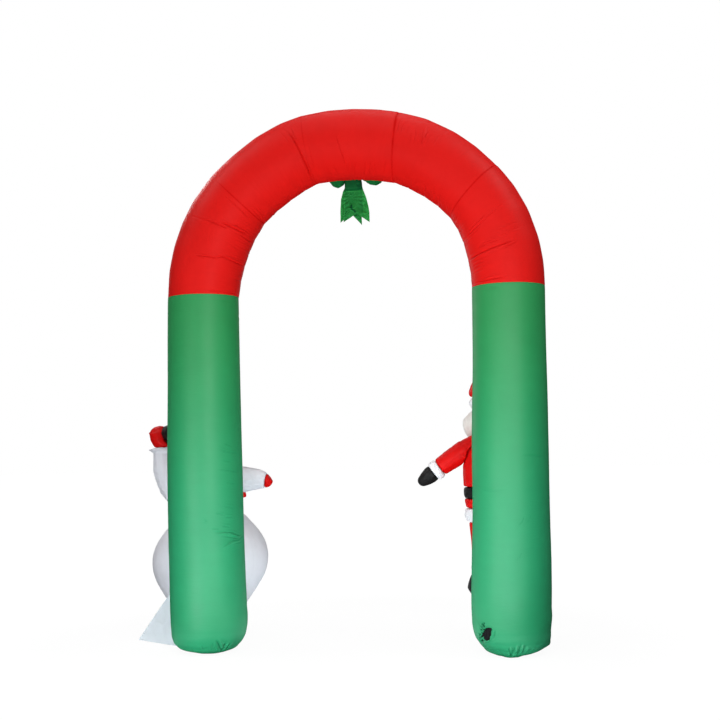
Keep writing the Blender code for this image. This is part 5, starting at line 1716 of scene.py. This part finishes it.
def inlet():
    """The blower's inlet: a gathered collar of leg cloth, and open mesh inside it."""
    ways = np.arange(192) * 2 * pi / 192
    reach = opening(ways, toothed=True)
    rng = np.random.default_rng(12)
    ruffle = np.zeros(192)
    for k in range(27):
        spot = (k + rng.uniform(-0.25, 0.25)) * 2 * pi / 27
        share = 0.10 + 0.90 * np.exp(-((turn_gap(spot, radians(165)) / radians(55)) ** 2))
        ruffle += (1 if k % 2 else -1) * share * np.exp(-((turn_gap(ways, spot) / 0.085) ** 2))

    def on_skin(u, v, rise):
        turn = radians(-INLET_TURN) + u / 0.165
        z = INLET_Z + v
        cx, radius = leg_row(RIGHT_LEG, z)
        radius = radius + rise
        return np.stack([cx + radius * np.sin(turn), -radius * np.cos(turn), z], -1)

    # the collar's section: how far outside the opening, and how high over the leg's skin
    section = [(0.0065, -0.003), (0.0060, 0.0004), (0.0042, 0.0018), (0.0020, 0.0022)]
    section += [(0.0, 0.0012), (-0.0012, -0.0012), (-0.001, -0.005), (0.002, -0.008), (0.005, -0.007)]
    rows = []
    for out, rise in section:
        lifted = rise + 0.0016 * ruffle * (1 if rise > 0 else 0.2)
        r = reach + out
        rows.append(on_skin(r * np.cos(ways), r * np.sin(ways), lifted))
    ring = np.array(rows) + MIDDLE
    count, around = len(rows), 192
    index = np.arange(count * around).reshape(count, around)
    nxt, down = np.roll(index, -1, 1), np.roll(index, -1, 0)
    faces = np.stack([index, nxt, np.roll(nxt, -1, 0), down], -1).reshape(-1, 4).tolist()
    # painted shade in the hollows of the collar's ruffle
    painted_shade = np.clip(-1.6 * ruffle[None, :] + np.zeros((count, 1)), 0, 1.0)
    collar = new_object("inlet_gather", ring.reshape(-1, 3), faces, painted_shade.ravel())
    finish_piece(collar, GREEN, ["inlet_collar"])

    # the mesh, slack and creased
    shares = np.linspace(0, 1, 15)[1:]
    top, under = [], []
    for share in shares:
        r = (reach + 0.0015) * share
        u, v = r * np.cos(ways), r * np.sin(ways)
        flat = np.stack([u, v, 0 * u], 1)
        slack = 0.0028 * noise(flat / 0.016, 41) + 0.0014 * noise(flat / 0.007, 42)
        rise = -0.0035 + 0.004 * (1 - share**2) + slack * (1 - share**4)
        top.append(on_skin(u, v, rise))
        under.append(on_skin(u, v, rise - 0.0012))
    hub = [on_skin(np.zeros(1), np.zeros(1), np.array([h]))[0] for h in (0.0012, 0.0)]
    verts = np.concatenate([np.array(top).reshape(-1, 3), np.array(under).reshape(-1, 3), hub])
    n = len(shares)
    index = np.arange(n * around).reshape(n, around)
    nxt = np.roll(index, -1, 1)
    a = np.stack([index[:-1], index[1:], nxt[1:], nxt[:-1]], -1).reshape(-1, 4)
    faces = a.tolist() + (a[:, ::-1] + n * around).tolist()
    rim = index[-1]
    for i in range(around):
        j = (i + 1) % around
        faces.append([rim[i], rim[i] + n * around, rim[j] + n * around, rim[j]])
        faces.append([index[0, i], index[0, j], 2 * n * around])
        faces.append([index[0, j] + n * around, index[0, i] + n * around, 2 * n * around + 1])
    net = new_object("inlet_net", verts + MIDDLE, faces)
    finish_piece(net, MESH, ["inlet_mesh"])


inlet()

Tail = namedtuple("Tail", "z left right")
TAIL_1 = [
    Tail(2.0860, -0.0540, 0.0200),
    Tail(2.0640, -0.0660, 0.0210),
    Tail(2.0300, -0.0760, 0.0200),
    Tail(1.9800, -0.0800, 0.0190),
    Tail(1.9640, -0.0810, 0.0190),
]
TAIL_1_TIPS = (1.9210, 1.9060)
TAIL_2 = [
    Tail(2.0960, -0.0450, 0.0220),
    Tail(2.0640, -0.0500, 0.0310),
    Tail(2.0300, -0.0590, 0.0440),
    Tail(1.9800, -0.0610, 0.0560),
    Tail(1.9560, -0.0610, 0.0590),
]
TAIL_2_TIPS = (1.9170, 1.9120)
BOW_Y = 0.165
CLOTH = 0.0015


def thick_sheet(name, grid, thickness, shade=None):
    """A closed thin sheet over a grid of points (rows, columns)."""
    n, m, _ = grid.shape
    du = np.gradient(grid, axis=0)
    dv = np.gradient(grid, axis=1)
    nrm = np.cross(du, dv)
    nrm /= np.linalg.norm(nrm, axis=2, keepdims=True) + 1e-12
    front = grid + nrm * thickness / 2
    back = grid - nrm * thickness / 2
    index = np.arange(n * m).reshape(n, m)
    a = np.stack([index[:-1, :-1], index[:-1, 1:], index[1:, 1:], index[1:, :-1]], -1).reshape(-1, 4)
    b = a[:, ::-1] + n * m
    rim = np.concatenate([index[0, :], index[1:, -1], index[-1, -2::-1], index[-2:0:-1, 0]])
    around = np.roll(rim, -1)
    walls = np.stack([around, rim, rim + n * m, around + n * m], -1)
    faces = np.concatenate([a, b, walls]).tolist()
    verts = np.concatenate([front.reshape(-1, 3), back.reshape(-1, 3)])
    s = np.zeros(n * m) if shade is None else shade.ravel()
    obj = new_object(name, verts, faces, np.concatenate([s, s]))
    sharpen(obj, np.concatenate([rim, rim + n * m]))
    return obj


def ribbon_tail(name, rows, tips, y, sway, seed):
    """A tail of the bow: flat cloth with a swallow-tailed end, crumpled across."""
    top = rows[0].z
    down, across = 74, 34
    table = np.array(rows, float)
    last = rows[-1]
    t = np.linspace(0, 1, across + 1)
    share = np.abs(2 * t - 1)
    deep = np.where(t < 0.5, tips[0], tips[1])
    ends = last.z - 0.002 - (last.z - 0.002 - deep) * share
    grid = np.zeros((down + 1, across + 1, 3))
    for i in range(down + 1):
        s = i / down
        z = top + (ends - top) * s
        zz = np.maximum(z, last.z)
        left = np.interp(-zz, -table[:, 0], table[:, 1])
        right = np.interp(-zz, -table[:, 0], table[:, 2])
        grid[i, :, 0] = left + (right - left) * t
        grid[i, :, 2] = z
        grid[i, :, 1] = y + sway * (top - z)
    flat = grid.reshape(-1, 3)
    pull = smoothstep((2.064 - flat[:, 2]) / 0.02)
    q = flat.copy()
    q[:, 1] = 0
    bent = q + 0.010 * np.stack([noise(q / 0.028, seed + k) for k in (7, 8, 9)], 1)
    # broken zigzag folds across the ribbon
    zigzag = bent[:, 2] + 0.016 * np.abs(((bent[:, 0] + 0.3) / 0.030) % 2 - 1)
    fold = np.sin(zigzag * 2 * pi / 0.0190 + 3.4 * noise(q / 0.032, seed))
    patchy = np.clip(0.5 + 1.1 * noise(q / 0.026, seed + 1), 0.1, 1)
    wave = 0.0019 * fold * patchy
    blotch = noise(bent / np.array([0.026, 1, 0.030]) + 5, seed + 2)
    wave += 0.0040 * blotch
    middle = np.interp(flat[:, 2], [1.93, 2.05], [-0.012, -0.014])
    side = np.abs(flat[:, 0] - middle)
    gather = 0.0016 * np.sin(flat[:, 0] * 430 + 3 * noise(q / 0.05, seed + 3)) * np.exp(
        -np.abs(2.064 - flat[:, 2]) / 0.02
    )
    flat[:, 1] += (wave + gather) * pull
    # the two layers lie over each other in the middle; there the cloth is painted deeper as painted shade, with more
    # painted shade on one side of each fold, in blotches and along the upper layer's edge
    wide = np.interp(flat[:, 2], [1.93, 2.05], [0.043, 0.036])
    double = 1 - smoothstep((side - wide + 0.002) / 0.004)
    shade = 0.32 * double + 0.14 * smoothstep(-fold * 1.4) * patchy
    shade += 0.16 * double * blotch + 0.35 * np.exp(-(((side - wide) / 0.0022) ** 2))
    # one deep fold runs down to the notch between the points, with painted shade along it
    run = np.clip((2.004 - flat[:, 2]) / 0.048, 0, 1)
    gap = np.abs(flat[:, 0] + 0.034 - 0.026 * run - 0.004 * np.sin(run * 9))
    deep = np.exp(-((gap / 0.0050) ** 2)) * smoothstep((run - 0.05) / 0.2) * smoothstep((1 - run) / 0.1)
    flat[:, 1] -= 0.0030 * deep
    shade = np.maximum(shade, 1.35 * deep)
    # painted shade: the band under the knot is darkened
    shade = np.where(flat[:, 2] > 2.063, 0.66, shade)
    # the painted shade is lifted off the hem line, so that it reads as a lit edge
    hem = np.exp(-(((flat[:, 2] - 2.0605) / 0.0018) ** 2))
    flat[:, 1] -= 0.0016 * hem
    shade *= 1 - 0.7 * hem
    grid = flat.reshape(grid.shape) + MIDDLE
    obj = thick_sheet(name + "_cloth", grid, CLOTH, shade.reshape(grid.shape[:2]))
    finish_piece(obj, RIBBON, [name])
    return obj


tail_1 = ribbon_tail("bow_tail_1", TAIL_1, TAIL_1_TIPS, BOW_Y + 0.006, 0.06, 1600)
tail_2 = ribbon_tail("bow_tail_2", TAIL_2, TAIL_2_TIPS, BOW_Y - 0.006, -0.06, 1610)


# ------------------------------------------------------------------ the flap beside the snowman
FLAP_CORNER = (-1.085, 0.245)
FLAP_RUN = (0.836, -0.549)
FLAP_REACH = 0.335
FLAP_RISE = 0.990
FLAP_BILLOW = 0.006


def wind_flap():
    run = np.array([FLAP_RUN[0], FLAP_RUN[1], 0.0])
    run /= np.linalg.norm(run)
    aside = np.cross([0, 0, 1.0], run)
    corner = np.array([FLAP_CORNER[0], FLAP_CORNER[1], 0.001])
    lo, hi = 0.004, FLAP_REACH
    # the far end stops at the leg's skin
    cx, radius = leg_row(LEFT_LEG, np.linspace(0, 0.4, 60))
    ups, alongs = 60, 70
    grid = np.zeros((ups + 1, alongs + 1, 3))
    for j in range(alongs + 1):
        for i in range(ups + 1):
            share = 1 - i / ups
            far = lo + (hi - lo) * j / alongs
            up = far * FLAP_RISE * share
            z = 0.001 + up
            c = np.interp(z, np.linspace(0, 0.4, 60), cx)
            r = np.interp(z, np.linspace(0, 0.4, 60), radius) + 0.0012
            # how far along run the leg's skin is met
            rel = np.array([corner[0] - c, corner[1]])
            b = rel @ run[:2]
            k = rel @ rel - r * r
            root = b * b - k
            stop = -b - sqrt(root) if root > 0 else hi
            far = lo + (min(hi, stop) - lo) * j / alongs
            up = far * FLAP_RISE * share
            bulge = FLAP_BILLOW * sin(pi * j / alongs) * sin(pi * share)
            grid[i, j] = corner + run * far + aside * bulge + np.array([0, 0, up])
    flat = grid.reshape(-1, 3)
    edge = np.minimum.reduce([
        np.repeat(np.sin(np.linspace(0, 1, ups + 1) * pi), alongs + 1),
        np.tile(np.sin(np.linspace(0, 1, alongs + 1) * pi), ups + 1),
    ])
    wave = 0.0022 * noise(flat / 0.09, 1700) + 0.0008 * noise(flat / 0.03, 1701)
    line = noise(flat / 0.06, 1702)
    wave += 0.0012 * np.exp(-((line / 0.12) ** 2))
    flat = flat + aside * (wave * smoothstep(edge * 2))[:, None]
    grid = flat.reshape(grid.shape) + MIDDLE
    hem = np.zeros((ups + 1, alongs + 1))
    hem[:2, :] = 0.35
    obj = thick_sheet("snow_flap_cloth", grid, CLOTH, hem)
    return finish_piece(obj, FLAP, ["snow_flap"])


flap = wind_flap()


# ------------------------------------------------------------------ sewn-on patches
def surface_of(names):
    form = bmesh.new()
    for n in names:
        obj = bpy.data.objects[n]
        form.from_mesh(obj.data)
    return BVHTree.FromBMesh(form), form


def patch(name, on, centre, out, outline, look, thick=0.003, dome=0.004, turn=0.0):
    """A sewn-on shape of cloth that follows the form under it. centre is a point over it, out
    looks away from it, and outline gives the edge's distance from the centre at each turn."""
    skin, form = surface_of([on])
    out = Vector(out).normalized()
    right = Vector((0, 0, 1)).cross(out).normalized()
    up = out.cross(right)
    centre = Vector(centre)
    around, rings = 48, 9
    verts, faces = [], []

    def drop(u, v):
        start = centre + right * u + up * v + out * 0.15
        hit = skin.ray_cast(start, -out, 0.4)
        return hit[0], hit[1]

    mid, nrm = drop(0, 0)
    verts.append(mid + out * (thick + dome))
    for k in range(1, rings + 1):
        s = k / rings
        for i in range(around):
            a = 2 * pi * i / around
            reach = outline(a) * s
            u = reach * cos(a + turn)
            v = reach * sin(a + turn)
            spot, n = drop(u, v)
            if spot is None:
                spot = mid + right * u + up * v
            lift = thick * (1 if k < rings else 0.25) + dome * (1 - s * s)
            verts.append(spot + out * lift)
    for i in range(around):
        faces.append((0, 1 + i, 1 + (i + 1) % around))
    for k in range(rings - 1):
        for i in range(around):
            j = (i + 1) % around
            a = 1 + k * around
            faces.append((a + i, a + around + i, a + around + j, a + j))
    # the underside lies just below the skin that it is sewn to
    rim = 1 + (rings - 1) * around
    under = len(verts)
    for i in range(around):
        verts.append(verts[rim + i] - out * (thick * 0.25 + 0.0012))
    for i in range(around):
        j = (i + 1) % around
        faces.append((rim + i, under + i, under + j, rim + j))
    hub = len(verts)
    verts.append(verts[0] - out * (thick + dome + 0.0012))
    for i in range(around):
        faces.append((under + i, hub, under + (i + 1) % around))
    form.free()
    obj = new_object(name, [tuple(v) for v in verts], faces)
    return finish_piece(obj, look)


def round_edge(radius, tall=1.0):
    return lambda a: radius / sqrt(cos(a) ** 2 + (sin(a) / tall) ** 2)


HEAD_AT = Vector(at(-0.790, 0.352, 0.885))
for k, x in enumerate((-0.052, 0.052)):
    patch(f"snow_eye_{k + 1}", "snow_head_soft", HEAD_AT + Vector((x, 0.12, 0.022)),
          (x * 2.2, 1, 0.02), round_edge(0.0125, 1.2), BLACK)
for k, (x, z) in enumerate(((-0.055, -0.030), (-0.034, -0.047), (0, -0.053), (0.034, -0.047), (0.055, -0.030))):
    patch(f"snow_mouth_{k + 1}", "snow_head_soft", HEAD_AT + Vector((x, 0.12, z + 0.006)),
          (x * 2.2, 1, -0.25), round_edge(0.0075), BLACK, thick=0.002, dome=0.0025)
for k, z in enumerate((0.735, 0.665)):
    patch(f"snow_button_{k + 1}", "snow_torso_soft", at(-0.780, 0.5, z), (0, 1, 0.3 if k == 0 else -0.1),
          round_edge(0.017), BLACK, dome=0.005)
for k, z in enumerate((0.47, 0.36)):
    patch(f"snow_button_{k + 3}", "snow_body_soft", at(-0.776, 0.66, z), (0, 1, 0.35 if k == 0 else 0.0),
          round_edge(0.021), BLACK, dome=0.006)

FACE_AT = Vector(at(0.635, 0.325, 1.030))
for k, x in enumerate((-0.036, 0.036)):
    patch(f"xmas_eye_{k + 1}", "xmas_head_soft", FACE_AT + Vector((x, 0.11, 0.012)),
          (x * 2.0, 1, 0.05), round_edge(0.0075, 1.35), BLACK, thick=0.002, dome=0.0022)

# ------------------------------------------------------------------ floor and light
def area_light(name, at_point, aim, size, energy, colour=(1, 1, 1)):
    data = bpy.data.lights.new(name, "AREA")
    data.shape = "RECTANGLE"
    data.size, data.size_y = size
    data.energy = energy
    data.color = colour
    obj = bpy.data.objects.new(name, data)
    obj.location = at_point
    way = Vector(aim) - Vector(at_point)
    obj.rotation_euler = way.to_track_quat("-Z", "Y").to_euler()
    bpy.context.scene.collection.objects.link(obj)
    return obj


def floor_sheet(name, height, colour, glow, seen):
    """White ground. One sheet is what the camera sees, the other what light bounces off."""
    form = bmesh.new()
    bmesh.ops.create_grid(form, x_segments=1, y_segments=1, size=30)
    if not seen:
        # the ground beyond the feet gives no light back, so that their outer sides stay deep
        for vert in form.verts:
            vert.co.x = (0.80 if vert.co.x > 0 else -1.15) + MIDDLE[0]
    mesh = bpy.data.meshes.new(name)
    form.to_mesh(mesh)
    form.free()
    floor = bpy.data.objects.new(name, mesh)
    floor.location = (0, 0, height)
    bpy.context.scene.collection.objects.link(floor)
    material = bpy.data.materials.new(name + "_white")
    material.use_nodes = True
    s = material.node_tree.nodes["Principled BSDF"]
    s.inputs["Base Color"].default_value = (*colour, 1)
    s.inputs["Roughness"].default_value = 1.0
    s.inputs["Specular IOR Level"].default_value = 0.0
    s.inputs["Emission Color"].default_value = (1, 1, 1, 1)
    if seen:
        # away from the arch it is plain white
        tree = material.node_tree
        coords = tree.nodes.new("ShaderNodeTexCoord")
        far = tree.nodes.new("ShaderNodeVectorMath")
        far.operation = "LENGTH"
        tree.links.new(coords.outputs["Object"], far.inputs[0])
        ramp = tree.nodes.new("ShaderNodeMapRange")
        ramp.inputs["From Min"].default_value = 1.3
        ramp.inputs["From Max"].default_value = 2.6
        ramp.inputs["To Min"].default_value = glow
        ramp.inputs["To Max"].default_value = 1.0
        tree.links.new(far.outputs["Value"], ramp.inputs["Value"])
        tree.links.new(ramp.outputs[0], s.inputs["Emission Strength"])
    else:
        s.inputs["Emission Strength"].default_value = glow
    mesh.materials.append(material)
    floor.visible_camera = seen
    floor.visible_diffuse = not seen
    floor.visible_glossy = not seen
    floor.visible_shadow = False


def add_world():
    world = bpy.data.worlds.new("studio")
    bpy.context.scene.world = world
    world.use_nodes = True
    tree = world.node_tree
    tree.nodes.clear()
    out = tree.nodes.new("ShaderNodeOutputWorld")
    seen = tree.nodes.new("ShaderNodeBackground")
    seen.inputs["Color"].default_value = (1, 1, 1, 1)
    seen.inputs["Strength"].default_value = 1.0
    lit = tree.nodes.new("ShaderNodeBackground")
    lit.inputs["Color"].default_value = (1.0, 1.0, 1.0, 1)
    lit.inputs["Strength"].default_value = 0.06
    path = tree.nodes.new("ShaderNodeLightPath")
    mix = tree.nodes.new("ShaderNodeMixShader")
    tree.links.new(path.outputs["Is Camera Ray"], mix.inputs[0])
    tree.links.new(lit.outputs[0], mix.inputs[1])
    tree.links.new(seen.outputs[0], mix.inputs[2])
    tree.links.new(mix.outputs[0], out.inputs[0])


floor_sheet("floor", -0.0004, (0.06, 0.06, 0.06), 0.95, True)
floor_sheet("floor_bounce", -0.0008, (0.85, 0.89, 0.91), 0.0, False)
add_world()

# Each light: its place and aim from the arch's middle, its size and its power.
Light = namedtuple("Light", "name place aim size power")
LIGHTS = [
    Light("right_far", (2.8, -5.6, 1.2), (0, 0, 1.0), (2.0, 1.6), 122.0),
    Light("left_low", (-2.0, -3.2, 0.5), (0, 0, 1.0), (1.2, 1.0), 48.0),
    Light("left_near", (-0.8, -2.4, 0.35), (-0.3, 0, 0.51), (0.9, 0.7), 3.0),
    Light("top_back", (0, -1.5, 4.6), (0, 0, 1.6), (2.4, 1.6), 34.0),
    Light("top_front", (0, 0.8, 4.8), (0, 0, 1.6), (2.4, 1.6), 24.0),
    Light("top_left", (-2.6, -0.4, 4.2), (0, 0, 1.6), (1.6, 1.6), 43.0),
    Light("top_right", (2.6, -0.4, 4.2), (0, 0, 1.6), (1.6, 1.6), 57.0),
    Light("foot_left", (-0.80, -0.97, 0.12), (-0.72, 0, 0.3), (0.5, 0.35), 3.4),
    Light("foot_right", (0.53, -0.97, 0.12), (0.60, 0, 0.3), (0.5, 0.35), 2.6),
    Light("right_near", (0.35, -1.60, 0.75), (0.60, 0, 0.7), (0.5, 0.5), 3.0),
    Light("right_high", (0.45, -1.9, 1.45), (0.62, 0, 1.35), (0.5, 0.7), 8.0),
    Light("rim_left", (-2.6, 2.4, 3.6), (-0.55, 0, 2.1), (0.8, 0.8), 26.0),
    Light("ground_left", (-0.8, -1.7, 0.02), (-0.8, -1.7, 5), (1.3, 1.5), 11.0),
    Light("ground_middle", (0, -0.1, 0.02), (0, -0.1, 5), (0.9, 1.4), 2.5),
    Light("ground_right", (0.7, -1.7, 0.02), (0.7, -1.7, 5), (1.3, 1.5), 22.0),
    Light("front_left", (-2.6, 3.6, 1.8), (0, 0, 1.0), (1.8, 1.8), 20.0),
    Light("front_middle", (0, 4.6, 2.4), (0, 0, 1.0), (2.2, 2.0), 10.0),
]
for lamp in LIGHTS:
    place = np.array(lamp.place) + MIDDLE
    aim = np.array(lamp.aim) + MIDDLE
    light = area_light(lamp.name, tuple(place), tuple(aim), lamp.size, lamp.power)
    light.visible_camera = False
    if lamp.name.startswith(("foot", "ground")):
        light.data.color = (0.78, 0.90, 1.0)

scene = bpy.context.scene
scene.view_settings.view_transform = "Standard"
scene.view_settings.look = "None"
